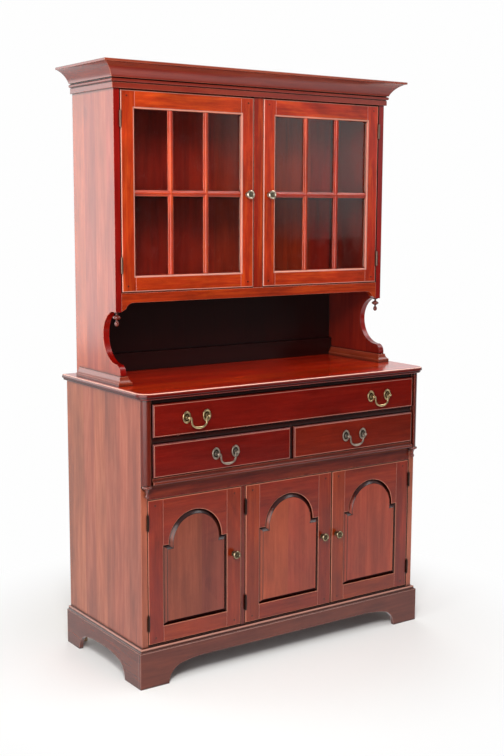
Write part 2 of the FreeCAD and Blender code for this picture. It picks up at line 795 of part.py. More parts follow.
def cornice():
    """Crown moulding mitred round the front and both sides."""
    base = cornice_bottom
    wide = size.cornice_projection
    step = wide - size.cornice_step
    fillet = size.total_height - size.cornice_fillet
    cove_set = size.cornice_cove_set
    bead = size.cornice_bead_set
    bead_low = base + size.cornice_bead_bottom
    bead_high = bead_low + size.cornice_bead_height
    cove_low = base + size.cornice_cove_bottom
    ovolo = tangent_radius(size.cornice_bead_bottom, cove_set)
    profile = [(0, base, ovolo, -1), (cove_set, bead_low), (bead, bead_low),
               (bead, bead_high), (cove_set, cove_low, size.cornice_cove, 1), (step, fillet),
               (wide, fillet), (wide, size.total_height)]
    half = upper_half + wide
    front = upper_face - wide
    body = new_body("cornice")
    outline = rectangle(-half, half, front, upper_back)
    sketch = draw(sketch_on(body, "cornice_plan", "XY_Plane", (0, 0, base)), outline)
    pad(body, "cornice_block", sketch, size.cornice_height)
    inner = rectangle(-upper_half, upper_half, upper_face, upper_back + MARGIN)
    top = size.total_height + MARGIN
    sketch = draw(sketch_on(body, "cornice_inside", "XY_Plane", (0, 0, top)), inner)
    pocket(body, "cornice_inside_cut", sketch, size.cornice_height + MARGIN * 2)
    moulding_cut(body, "cornice_front", "YZ_Plane", half + MARGIN, half * 2 + MARGIN * 2,
                 upper_face, -1, profile, wide + MARGIN)
    for hand, sign in (("left", -1), ("right", 1)):
        moulding_cut(body, f"cornice_{hand}", "XZ_Plane", -front + MARGIN,
                     size.upper_depth + wide + MARGIN * 2, upper_half * sign, sign, profile,
                     wide + MARGIN)
    keep(body, "cornice")


def shoe_mouldings():
    """Mouldings round the outer side, front and inner side of each upper foot."""
    toe = upper_face - size.foot_reach
    front = toe - size.shoe_projection
    base = size.counter_top
    top = base + size.shoe_height
    tread = base + size.shoe_tread
    hollow = size.shoe_projection - size.shoe_lip
    curve = tangent_radius(top - tread, hollow)
    profile = [(size.shoe_projection, base), (size.shoe_projection, tread, curve, 1),
               (size.shoe_lip, top)]
    reach = size.shoe_projection + MARGIN
    members = []
    for hand, left in (("left", -upper_half), ("right", upper_inside)):
        right = left + size.side_board
        body = new_body(f"shoe_{hand}")
        outline = rectangle(left - size.shoe_projection, right + size.shoe_projection, front,
                            upper_rear - size.back_rail_thick)
        sketch = draw(sketch_on(body, f"shoe_{hand}_plan", "XY_Plane", (0, 0, base)), outline)
        pad(body, f"shoe_{hand}_block", sketch, size.shoe_height)
        slot = rectangle(left, right, toe, upper_back + MARGIN)
        sketch = draw(sketch_on(body, f"shoe_{hand}_slot", "XY_Plane", (0, 0, top + MARGIN)), slot)
        pocket(body, f"shoe_{hand}_slot_cut", sketch, size.shoe_height + MARGIN * 2)
        deep = size.upper_depth + size.foot_reach + reach
        for side, base_x, sign in (("outer", left, -1), ("inner", right, 1)):
            moulding_cut(body, f"shoe_{hand}_{side}", "XZ_Plane", -front + MARGIN, deep,
                         base_x, sign, profile, reach)
        moulding_cut(body, f"shoe_{hand}_front", "YZ_Plane", right + reach,
                     size.side_board + reach * 2, toe, -1, profile, reach)
        members.append(body)
    group("shoe_mouldings", members)


def bulb(neck, widest, top, bottom):
    """Corners of a rounded swelling, from its top neck down."""
    middle = (length(top) + bottom) / 2
    curve = tangent_radius(middle - bottom, length(widest) - neck)
    return [(neck, top, curve, 1), (widest, middle, curve, 1)]


def pendant_outline(top):
    """Collar, neck, flattened ball and round tip, from the top down."""
    neck = size.turned_neck
    collar = top - size.pendant_collar_thick
    ball_top = collar - size.turned_gap * 2
    ball_bottom = ball_top - size.pendant_ball_high
    tip_top = ball_bottom - size.turned_gap
    end = top - size.pendant_length
    outline = [(0, top), (size.pendant_collar, top), (size.pendant_collar, collar),
               (neck, collar - size.turned_gap / 2)]
    outline += bulb(neck, size.pendant_ball, ball_top, ball_bottom) + [(neck, ball_bottom)]
    point = end + size.turned_point
    outline += bulb(neck, size.pendant_tip, tip_top, point)
    return outline + [(neck, point), (0, end)]


def drop_outline(top):
    """Rounded cap, hollow taper, stem and small ball, from the top down."""
    stem = size.drop_stem
    cap = size.drop_radius
    shoulder = cap - size.drop_cap_round
    cap_bottom = top - size.drop_cap
    taper_bottom = cap_bottom - size.drop_taper
    ball_top = taper_bottom - size.turned_gap
    end = top - size.drop_length
    hollow = shoulder - size.drop_shoulder
    taper = tangent_radius(size.drop_taper, hollow - stem)
    outline = [(0, top)] + bulb(shoulder, cap, top, cap_bottom) + [(shoulder, cap_bottom)]
    outline += [(hollow, cap_bottom, taper, -1), (stem, taper_bottom)]
    point = end + size.turned_point
    outline += bulb(stem, size.drop_tip, ball_top, point)
    return outline + [(stem, point), (0, end)]


def turned_drops():
    """Drops under the upper sides' ends and, cut flat behind, under the corner posts."""
    members = []
    for hand, sign in (("left", -1), ("right", 1)):
        x = (upper_half - size.side_board / 2) * sign
        y = upper_face + size.side_end_depth / 2
        members.append(turned(f"pendant_{hand}", "XZ_Plane", (x, 0, -y), "V_Axis",
                              pendant_outline(side_end)))
    cap = size.drop_radius
    for hand, sign in (("left", -1), ("right", 1)):
        x = (lower_half - size.post_width / 2) * sign
        y = drawer_face + size.drawer_step / 2
        drop = turned(f"drop_{hand}", "XZ_Plane", (x, 0, -y), "V_Axis", drop_outline(step_bottom))
        behind = board(f"drop_{hand}_behind", x - cap - MARGIN, x + cap + MARGIN, lower_face,
                       lower_face + cap, step_bottom - size.drop_length - MARGIN,
                       step_bottom + MARGIN)
        members.append(cut(f"drop_{hand}_flat", drop, behind))
    group("turned_drops", members)


# ---- hinges, knobs and pulls ----------------------------------------------------------

def span(first, second):
    """Two planes in order."""
    first = length(first)
    second = length(second)
    return (first, second) if first.value < second.value else (second, first)


def hinge(name, axis_x, sign, face, middle):
    """A butt hinge: the door's leaf with the middle knuckle, the case's leaf with the pin."""
    axis_y = face - axis_before_face
    half = size.hinge_height / 2
    knuckle = half / 3
    gap = size.knuckle_gap / 2
    parts = {"door": [], "case": []}
    knuckles = {"door": [(middle - knuckle + gap, middle + knuckle - gap)],
                "case": [(middle - half, middle - knuckle - gap),
                         (middle + knuckle + gap, middle + half)]}
    for owner, way in (("door", sign), ("case", -sign)):
        inner = axis_x + size.leaf_gap / 2 * way
        outer = inner + size.leaf_thick * way
        left, right = span(inner, outer)
        parts[owner].append(board(f"{name}_{owner}_leaf", left, right, face,
                                  face + size.leaf_width, middle - half, middle + half))
        for number, (low, high) in enumerate(knuckles[owner]):
            parts[owner].append(board(f"{name}_{owner}_lug_{number}", left, right, axis_y,
                                      face, low, high))
            parts[owner].append(rod(f"{name}_{owner}_barrel_{number}", size.barrel_radius,
                                    high - low, axis_x, axis_y, low))
    pin_low = middle - half - size.pin_radius
    pin = rod(f"{name}_pin", size.pin_radius, size.hinge_height + size.pin_radius * 2,
              axis_x, axis_y, pin_low)
    case = fused(f"{name}_case", parts["case"] + [pin])
    bore = rod(f"{name}_bore", size.pin_radius + size.pin_clear, size.hinge_height, axis_x,
               axis_y, middle - half)
    door = cut(f"{name}_door", fused(f"{name}_door_solid", parts["door"]), bore)
    return door, case


def knob(name, x, face, height, radius):
    """A turned knob on a door's face, its front hollowed."""
    face_line = -size.knob_length
    shoulder = -(size.knob_length - size.knob_head)
    neck = size.knob_neck
    edge = radius - size.knob_edge
    outline = [(0, 0), (0, size.knob_base), (-size.knob_base_thick, size.knob_base),
               (-size.knob_base_thick, neck), (shoulder, neck),
               (shoulder - size.knob_head / 2, radius),
               (face_line + size.knob_edge_deep, radius), (face_line, edge),
               (face_line, edge - size.knob_rim),
               (face_line + size.knob_dish, radius / 2), (face_line + size.knob_dish, 0)]
    outline = [(length(u), v) for u, v in outline]
    return keep(turned(name, "YZ_Plane", (face, height, x), "H_Axis", outline), name)


def oval(name, wide, high, thick, x, y, z):
    """An upright oval plate whose back lies at y."""
    ring = new("Part::Ellipse", f"{name}_edge")
    ring.Placement = FreeCAD.Placement(
        FreeCAD.Vector(), FreeCAD.Rotation(FreeCAD.Vector(1, 1, 1), -120))
    bind(ring, "MajorRadius", length(high) / 2)
    bind(ring, "MinorRadius", length(wide) / 2)
    bind(ring, "Placement.Base.x", x)
    bind(ring, "Placement.Base.y", y)
    bind(ring, "Placement.Base.z", z)
    plate = new("Part::Extrusion", name)
    plate.Base = ring
    plate.DirMode = "Custom"
    plate.Dir = FreeCAD.Vector(0, -1, 0)
    bind(plate, "LengthFwd", thick)
    plate.Solid = True
    return plate


def pull_posts(name, centres, height):
    """Oval rosettes and the posts whose eyes carry the bails."""
    members = []
    reach = size.pull_reach
    for number, centre in enumerate(centres):
        for hand, sign in (("left", -1), ("right", 1)):
            tag = f"{name}_{number}_{hand}"
            x = centre + size.pull_boring / 2 * sign
            plate = oval(f"{tag}_plate", size.rosette_width, size.rosette_height,
                         size.rosette_thick, x, drawer_face, height)
            dish_back = drawer_face - size.rosette_thick + size.rosette_dish
            dish = oval(f"{tag}_dish", size.rosette_width - size.rosette_rim * 2,
                        size.rosette_height - size.rosette_rim * 2,
                        size.rosette_dish + MARGIN, x, dish_back, height)
            rosette = cut(f"{tag}_rosette", plate, dish)
            shank = rod(f"{tag}_shank", size.post_shank, reach, x, drawer_face, height,
                        ALONG_FRONT)
            eye = ball(f"{tag}_eye", size.post_eye, x, drawer_face - reach, height)
            solid = fused(f"{tag}_solid", [rosette, shank, eye])
            inner = x - (size.post_eye + MARGIN) * sign
            low, high = span(inner, x + (size.bail_pin + size.bail_pin_play) * sign)
            bore = rod(f"{tag}_bore", size.bail_pin + size.pin_clear, high - low, low,
                       drawer_face - reach, height, ALONG_X)
            members.append(cut(tag, solid, bore))
    group(name, members)


def filleted_path(points, radius):
    """Straight runs through points, with an arc at every inner corner."""
    edges = []
    start = points[0]
    for before, corner, after in zip(points, points[1:], points[2:]):
        to_before = (before - corner).normalize()
        to_after = (after - corner).normalize()
        half = to_before.getAngle(to_after) / 2
        cut_back = radius / math.tan(half)
        middle = (to_before + to_after).normalize() * (radius / math.sin(half) - radius)
        edges.append(Part.LineSegment(start, corner + to_before * cut_back).toShape())
        start = corner + to_after * cut_back
        arc = Part.Arc(corner + to_before * cut_back, corner + middle, start)
        edges.append(arc.toShape())
    edges.append(Part.LineSegment(start, points[-1]).toShape())
    return Part.Wire(edges)


def bail(name, centre, height):
    """A swelling grip on two legs that turn on pins in the posts' eyes."""
    knuckle = size.bail_knuckle.value
    top = (size.pull_boring / 2 - size.post_eye - size.bail_gap).value - knuckle
    low = top + size.bail_splay.value
    drop = size.bail_drop.value
    rod_radius = size.bail_rod.value
    grip = size.bail_grip.value
    pin_end = size.pull_boring.value / 2 + size.bail_pin.value
    corners = [FreeCAD.Vector(-top, 0, 0), FreeCAD.Vector(-low, 0, -drop),
               FreeCAD.Vector(low, 0, -drop), FreeCAD.Vector(top, 0, 0)]
    spine = filleted_path(corners, size.bail_corner.value)
    along = corners[1] - corners[0]
    section = Part.Wire(Part.makeCircle(rod_radius, corners[0], along))
    solid = spine.makePipeShell([section], True, True)
    for sign in (-1, 1):
        solid = solid.fuse(Part.makeSphere(knuckle, FreeCAD.Vector(top * sign, 0, 0)))
        pin = Part.makeCylinder(size.bail_pin.value, pin_end - top,
                                FreeCAD.Vector(top * sign, 0, 0), FreeCAD.Vector(sign, 0, 0))
        solid = solid.fuse(pin)
    half = low - size.bail_corner.value
    sunk = rod_radius * SWELL_START
    ends = [FreeCAD.Vector(-half, 0, -drop + sunk), FreeCAD.Vector(half, 0, -drop + sunk)]
    crown = FreeCAD.Vector(0, 0, -drop + grip)
    swell = Part.Wire([Part.Arc(ends[0], crown, ends[1]).toShape(),
                       Part.LineSegment(ends[1], FreeCAD.Vector(half, 0, -drop)).toShape(),
                       Part.LineSegment(FreeCAD.Vector(half, 0, -drop),
                                        FreeCAD.Vector(-half, 0, -drop)).toShape(),
                       Part.LineSegment(FreeCAD.Vector(-half, 0, -drop), ends[0]).toShape()])
    turning = Part.Face(swell).revolve(FreeCAD.Vector(0, 0, -drop), FreeCAD.Vector(1, 0, 0), 360)
    solid = solid.fuse(turning).removeSplitter()
    feature = new("Part::Feature", name)
    feature.Shape = solid.Solids[0]
    feature.Placement = FreeCAD.Placement(
        FreeCAD.Vector(centre.value, (drawer_face - size.pull_reach).value, height.value),
        FreeCAD.Rotation())
    keep(feature, name)


# ---- drawers --------------------------------------------------------------------------

def drawer(name, left, right, bottom, top, centres, pull_height):
    """Front with a moulded edge, a box of separate boards behind it, and its pulls."""
    gap = size.drawer_gap
    ease = size.drawer_ease
    eased = drawer_face + ease
    front_back = drawer_face + size.drawer_front
    body = new_body(f"{name}_front")
    outer = rectangle(left + gap, right - gap, bottom + gap, top - gap)
    inner = rectangle(left + gap + ease, right - gap - ease, bottom + gap + ease,
                      top - gap - ease)
    sketch = draw(sketch_on(body, f"{name}_board", "XZ_Plane", (0, 0, -front_back)), outer)
    pad(body, f"{name}_board_pad", sketch, size.drawer_front - ease)
    first = draw(sketch_on(body, f"{name}_edge", "XZ_Plane", (0, 0, -eased)), outer)
    last = draw(sketch_on(body, f"{name}_face", "XZ_Plane", (0, 0, -drawer_face)), inner)
    loft(body, "Additive", f"{name}_moulded_edge", first, last)
    keep(body, f"{name}_front")
    box_left = left + gap + size.box_inset
    box_right = right - gap - size.box_inset
    low = bottom + size.drawer_run
    high = top - size.box_drop
    rear = lower_rear - size.drawer_rear_gap
    side = size.drawer_side
    bottom_low = low + size.drawer_bottom_rise
    members = [
        board(f"{name}_left_side", box_left, box_left + side, front_back, rear, low, high),
        board(f"{name}_right_side", box_right - side, box_right, front_back, rear, low, high),
        board(f"{name}_back", box_left + side, box_right - side, rear - side, rear, low, high),
        board(f"{name}_bottom", box_left + side, box_right - side, front_back, rear - side,
              bottom_low, bottom_low + size.drawer_bottom)]
    group(f"{name}_box", members)
    pull_posts(f"{name}_pulls", centres, pull_height)


def drawers():
    half = size.partition / 2
    long_centres = (-size.long_pull_centre, size.long_pull_centre)
    pull_height = long_bottom + size.long_pull_rise
    drawer("long_drawer", -post_inside, post_inside, long_bottom, long_top, long_centres,
           pull_height)
    bail("long_drawer_bail_left", long_centres[0], pull_height)
    bail("long_drawer_bail_right", long_centres[1], pull_height)
    pull_height = small_bottom + size.small_pull_rise
    for hand, left, right, sign in (("left", -post_inside, -half, -1),
                                    ("right", half, post_inside, 1)):
        name = f"small_drawer_{hand}"
        centre = size.small_pull_centre * sign
        drawer(name, left, right, small_bottom, small_top, (centre,), pull_height)
        bail(f"{name}_bail", centre, pull_height)


# ---- doors ----------------------------------------------------------------------------

def door_blank(name, edges, face, opening, aperture, depth, rabbet, rabbet_plane):
    """A framed door in one: eased outside, moulded and rabbeted round its opening."""
    left, right, bottom, top = edges
    ease = size.door_ease
    rear = face + size.door_thick
    body = new_body(f"{name}_blank")

    def at(plane_y, tag, outline):
        return draw(sketch_on(body, f"{name}_{tag}", "XZ_Plane", (0, 0, -plane_y)), outline)

    outer = rectangle(left, right, bottom, top)
    pad(body, f"{name}_slab", at(rear, "back", outer), size.door_thick - ease)
    inner = rectangle(left + ease, right - ease, bottom + ease, top - ease)
    loft(body, "Additive", f"{name}_ease", at(face + ease, "edge", outer), at(face, "face", inner))
    pocket(body, f"{name}_through", at(face, "aperture", aperture), size.door_thick)
    loft(body, "Subtractive", f"{name}_sticking", at(face, "opening", opening),
         at(face + depth, "sticking_foot", aperture))
    pocket(body, f"{name}_rabbet_cut", at(rabbet_plane, "rabbet", rabbet),
           rear - rabbet_plane)
    return body


def jointed_frame(name, blank, edges, face, seams):
    """Part a door blank into two stiles that run through and the rails between them."""
    left, right, bottom, top = edges
    front = face - MARGIN
    rear = face + size.door_thick + MARGIN
    low = bottom - MARGIN
    high = top + MARGIN
    stiles = new("Part::Compound", f"{name}_stile_spaces")
    stiles.Links = [
        board(f"{name}_left_space", left - MARGIN, seams[0], front, rear, low, high),
        board(f"{name}_right_space", seams[1], right + MARGIN, front, rear, low, high)]
    group(f"{name}_frame", [common(f"{name}_stiles", blank, stiles),
                            cut(f"{name}_rails", blank, stiles)])


def arched(centre, half, bottom, shoulder, inset):
    """Outline of a round-headed opening with square shoulders, set in all round."""
    radius = arch_radius - inset
    low = length(inset)
    spring = (radius * radius - low * low).root()
    side = half - inset
    level = shoulder - inset
    return [(centre - side, bottom + inset), (centre + side, bottom + inset),
            (centre + side, level), (centre + spring, level, radius, -1),
            (centre, shoulder + radius, radius, -1), (centre - spring, level),
            (centre - side, level)]


def lower_door(name, left, right, sign, knob_inset):
    """A door with a round-headed raised panel; sign is 1 where it hangs on its left edge."""
    bottom = floor_top + size.door_gap
    top = frieze_bottom - size.door_gap
    edges = (left, right, bottom, top)
    face = lower_face
    centre = (left + right) / 2
    half = (right - left) / 2 - size.stile_width
    sill = bottom + size.lower_rail_width
    shoulder = top - size.arch_drop - arch_radius
    plane = face + size.panel_plane
    lap = size.panel_lap - size.sticking_width
    crown = top - size.arch_drop
    rabbet = rectangle(centre - half - lap, centre + half + lap, sill - lap, crown + lap)
    blank = door_blank(name, edges, face, arched(centre, half, sill, shoulder, 0),
                       arched(centre, half, sill, shoulder, size.sticking_width),
                       size.sticking_depth, rabbet, plane)
    seam = half - size.sticking_width
    jointed_frame(name, blank, edges, face, (centre - seam, centre + seam))
    body = new_body(f"{name}_panel")
    reach = half + lap - size.panel_clear
    slab = rectangle(centre - reach, centre + reach, sill - lap + size.panel_clear,
                     crown + lap - size.panel_clear)
    slab_back = plane + size.panel_thick
    sketch = draw(sketch_on(body, f"{name}_tongue", "XZ_Plane", (0, 0, -slab_back)), slab)
    pad(body, f"{name}_tongue_pad", sketch, size.panel_thick)
    foot = size.sticking_width + size.panel_groove
    wide = draw(sketch_on(body, f"{name}_field_foot", "XZ_Plane", (0, 0, -plane)),
                arched(centre, half, sill, shoulder, foot))
    flat = draw(sketch_on(body, f"{name}_field", "XZ_Plane", (0, 0, -(plane - size.panel_rise))),
                arched(centre, half, sill, shoulder, foot + size.panel_bevel))
    loft(body, "Additive", f"{name}_raised_field", wide, flat)
    keep(body, f"{name}_panel")
    free = right if sign > 0 else left
    knob(f"{name}_knob", free - knob_inset * sign, face, bottom + size.knob_rise,
         size.knob_radius)
    return hang(name, left if sign > 0 else right, sign, face,
                (bottom + size.lower_hinge_bottom, top - size.lower_hinge_top))


def hang(name, edge, sign, face, heights):
    """A door's hinges; returns the leaves that stay on the case."""
    axis_x = edge - hinge_gap / 2 * sign
    doors = []
    cases = []
    for number, middle in enumerate(heights):
        door, case = hinge(f"{name}_hinge_{number}", axis_x, sign, face, middle)
        doors.append(door)
        cases.append(case)
    group(f"{name}_hinges", doors)
    return cases


def lower_doors():
    half = size.mullion_width / 2
    meeting = size.meeting_gap / 2
    leaves = lower_door("lower_door_left", -lower_inside + hinge_gap,
                        mullion_centre - half - size.lock_gap, 1, size.left_knob_inset)
    leaves += lower_door("lower_door_middle", mullion_centre + half + hinge_gap,
                         meeting_centre - meeting, 1, size.middle_knob_inset)
    leaves += lower_door("lower_door_right", meeting_centre + meeting,
                         lower_inside - hinge_gap, -1, size.right_knob_inset)
    group("lower_case_hinges", leaves)


def glass_door(name, left, right, sign):
    """A door of six panes; sign is 1 where it hangs on its left edge."""
    bottom = niche_top + size.door_gap
    top = upper_door_top
    edges = (left, right, bottom, top)
    face = upper_face
    pane_left = left + size.glass_stile
    pane_right = right - size.glass_stile
    sill = bottom + size.glass_bottom_rail
    head = top - size.glass_top_rail
    stick = size.glass_sticking
    lap = size.glass_lap
    bars_back = face + size.muntin_set + size.muntin_bead_thick + size.muntin_thick
    aperture = rectangle(pane_left, pane_right, sill, head)
    opening = rectangle(pane_left - stick, pane_right + stick, sill - stick, head + stick)
    rabbet = rectangle(pane_left - lap, pane_right + lap, sill - lap, head + lap)
    blank = door_blank(name, edges, face, opening, aperture, stick, rabbet, bars_back)
    jointed_frame(name, blank, edges, face, (pane_left, pane_right))
    pitch = (pane_right - pane_left) / PANE_COLUMNS
    level = (sill + head) / 2
    bead_back = face + size.muntin_set + size.muntin_bead_thick
    bars = []
    panes = []
    for layer, wide, front, rear in (("back", size.muntin_width, bead_back, bars_back),
                                     ("bead", size.muntin_bead, face + size.muntin_set,
                                      bead_back)):
        bars.append(board(f"{name}_{layer}_bar", pane_left, pane_right, front, rear,
                          level - wide / 2, level + wide / 2))
        for number in range(1, PANE_COLUMNS):
            x = pane_left + pitch * number
            bars.append(board(f"{name}_{layer}_bar_{number}", x - wide / 2, x + wide / 2,
                              front, rear, sill, head))
    keep(fused(f"{name}_muntins", bars), f"{name}_muntins")
    clear = size.glass_gap / 2
    for number in range(PANE_COLUMNS):
        start = pane_left + pitch * number
        low_x = start + clear if number else start - lap + clear
        last = number == PANE_COLUMNS - 1
        high_x = start + pitch - clear if not last else start + pitch + lap - clear
        for row, low_z, high_z in (("low", sill - lap + clear, level - clear),
                                   ("high", level + clear, head + lap - clear)):
            panes.append(board(f"{name}_pane_{number}_{row}", low_x, high_x, bars_back,
                               bars_back + size.glass_thick, low_z, high_z))
    group(f"{name}_panes", panes)
    free = right if sign > 0 else left
    knob(f"{name}_knob", free - size.glass_knob_inset * sign, face,
         bottom + size.glass_knob_rise, size.glass_knob_radius)
    return hang(name, left if sign > 0 else right, sign, face,
                (bottom + size.glass_hinge_bottom, top - size.glass_hinge_top))


def glass_doors():
    free = size.centre_stile / 2 + size.lock_gap
    hung = upper_inside - hinge_gap
    leaves = glass_door("glass_door_left", -hung, -free, 1)
    leaves += glass_door("glass_door_right", free, hung, -1)
    group("upper_case_hinges", leaves)


# ---- build, check and write -----------------------------------------------------------

def build():
    lower_sides()
    top_board()
    corner_posts()
    drawer_rails()
    drawer_guides()
    lower_face_frame()
    lower_boards()
    back_boards("lower_back_boards", lower_inside, lower_rear, back, side_bottom,
                counter_under, LOWER_BACK_BOARDS)
    bracket_base()
    base_blocks()
    upper_sides()
    upper_boards()
    upper_face_frame()
    back_boards("upper_back_boards", upper_inside, upper_rear, upper_back, size.counter_top,
                side_top, UPPER_BACK_BOARDS)
    cornice()
    shoe_mouldings()
    turned_drops()
    drawers()
    lower_doors()
    glass_doors()
    document.recompute()


def check():
    """Stop if anything failed to build."""
    for thing in document.Objects:
        bad = [state for state in thing.State if state in ("Invalid", "Error")]
        if bad:
            raise RuntimeError(f"{thing.Name} is {bad}")
    for thing in pieces:
        if thing.Shape.isNull() or not thing.Shape.isValid():
            raise RuntimeError(f"{thing.Label} has no valid shape")
        if not thing.Shape.Solids:
            raise RuntimeError(f"{thing.Label} holds no solid")


def write():
    os.makedirs("parts", exist_ok=True)
    for thing in pieces:
        thing.Shape.exportStep(f"parts/{thing.Label}.step")
        print(f"{thing.Label}: {len(thing.Shape.Solids)} solids, "
              f"{thing.Shape.Volume / 1000:.1f} cm3")


build()
check()
write()
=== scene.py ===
"""The looks of a step back cupboard: lacquered cherry, window glass and cast brass.

The cupboard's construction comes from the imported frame. This script dresses it: mouldings,
turnings, panels and pulls are worked out as surfaces, boards keep their solids and get a
wood finish, and a plain studio stands round the piece. Lengths in the classes are in
millimetres, and meshes are in metres, X across, Y to the back and Z up.
"""

import json
import logging
import math
from dataclasses import dataclass, replace
from enum import Enum
from functools import cache, partial
from typing import Optional, Sequence
from zlib import crc32

import bmesh
import bpy
import numpy as np
from bpy.types import Material, Node, NodeSocket, NodeTree
from mathutils import Matrix, Vector


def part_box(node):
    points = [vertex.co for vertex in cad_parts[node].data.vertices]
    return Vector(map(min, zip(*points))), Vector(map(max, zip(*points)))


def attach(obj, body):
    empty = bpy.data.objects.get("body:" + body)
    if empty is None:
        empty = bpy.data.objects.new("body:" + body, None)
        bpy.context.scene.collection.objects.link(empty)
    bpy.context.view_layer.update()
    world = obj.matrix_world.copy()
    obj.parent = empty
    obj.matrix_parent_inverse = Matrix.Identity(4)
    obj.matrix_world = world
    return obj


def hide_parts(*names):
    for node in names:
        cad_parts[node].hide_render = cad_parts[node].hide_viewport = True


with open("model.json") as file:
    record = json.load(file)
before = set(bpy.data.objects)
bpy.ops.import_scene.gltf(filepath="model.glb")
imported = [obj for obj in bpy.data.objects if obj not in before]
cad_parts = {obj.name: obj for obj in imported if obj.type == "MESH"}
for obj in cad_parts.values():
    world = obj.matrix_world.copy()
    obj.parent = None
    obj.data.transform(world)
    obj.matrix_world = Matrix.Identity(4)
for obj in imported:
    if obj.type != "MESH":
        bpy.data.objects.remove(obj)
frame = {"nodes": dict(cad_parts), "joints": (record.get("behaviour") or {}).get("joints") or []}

LOG = logging.getLogger("cupboard")
MM = 0.001
WHITE = "#FEFEFE"
# colour of the painted shade laid in recesses and hemmed-in corners
PAINTED_SHADE = "#160302"
# the inputs of a Map Range node, which a row of values fills in this order
RANGE = ("Value", "From Min", "From Max", "To Min", "To Max")
SMOOTH = {"interpolation_type": "SMOOTHSTEP"}
Pair = tuple[float, float]
Triple = tuple[float, float, float]


# ---- colours and nodes ----------------------------------------------------------------

def linear(colour: str) -> tuple[float, ...]:
    """Turn an sRGB colour into linear light.

    Args:
        colour: a hex colour such as "#8A140C"
    Returns:
        linear red, green and blue, and alpha 1
    """
    parts = [int(colour[start:start + 2], 16) / 255 for start in (1, 3, 5)]
    lit = [p / 12.92 if p <= 0.04045 else ((p + 0.055) / 1.055) ** 2.4 for p in parts]
    return (*lit, 1.0)


def add_node(tree: NodeTree, kind: str, settings: Optional[dict] = None) -> Node:
    """Add a node with its settings and its links.

    Args:
        tree: the node tree that gets the node
        kind: the node's type after its prefix ShaderNode
        settings: values by the name of an attribute, or by the name or number of an input;
            a socket is linked to the input, and a node stands for its first output
    Returns:
        the new node
    """
    node = tree.nodes.new("ShaderNode" + kind)
    for name, value in (settings or {}).items():
        if isinstance(value, Node):
            value = value.outputs[0]
        if isinstance(name, str) and hasattr(node, name):
            setattr(node, name, value)
        elif isinstance(value, NodeSocket):
            tree.links.new(value, node.inputs[name])
        else:
            node.inputs[name].default_value = value
    return node


def new_material(name: str) -> tuple[Material, partial]:
    """Make an empty material.

    Args:
        name: the material's name
    Returns:
        the material, and add_node for its tree
    """
    material = bpy.data.materials.new(name)
    material.use_nodes = True
    material.node_tree.nodes.clear()
    return material, partial(add_node, material.node_tree)


def set_stops(ramp: Node, stops: Sequence[tuple[float, str]]) -> None:
    """Give a new colour ramp its stops.

    Args:
        ramp: the ramp's node, which starts with two stops
        stops: (place, hex colour) from left to right
    """
    elements = ramp.color_ramp.elements
    for place, _ in stops[1:-1]:
        elements.new(place)
    for element, (place, colour) in zip(elements, stops):
        element.position, element.color = place, linear(colour)


class Grain(Enum):
    """How a board lies: the axes of its length, its width and its thickness."""

    UPRIGHT = ("Z", "X", "Y")
    UPRIGHT_SIDE = ("Z", "Y", "X")
    ACROSS = ("X", "Z", "Y")
    ACROSS_FLAT = ("X", "Y", "Z")
    DEEP = ("Y", "Z", "X")
    DEEP_FLAT = ("Y", "X", "Z")


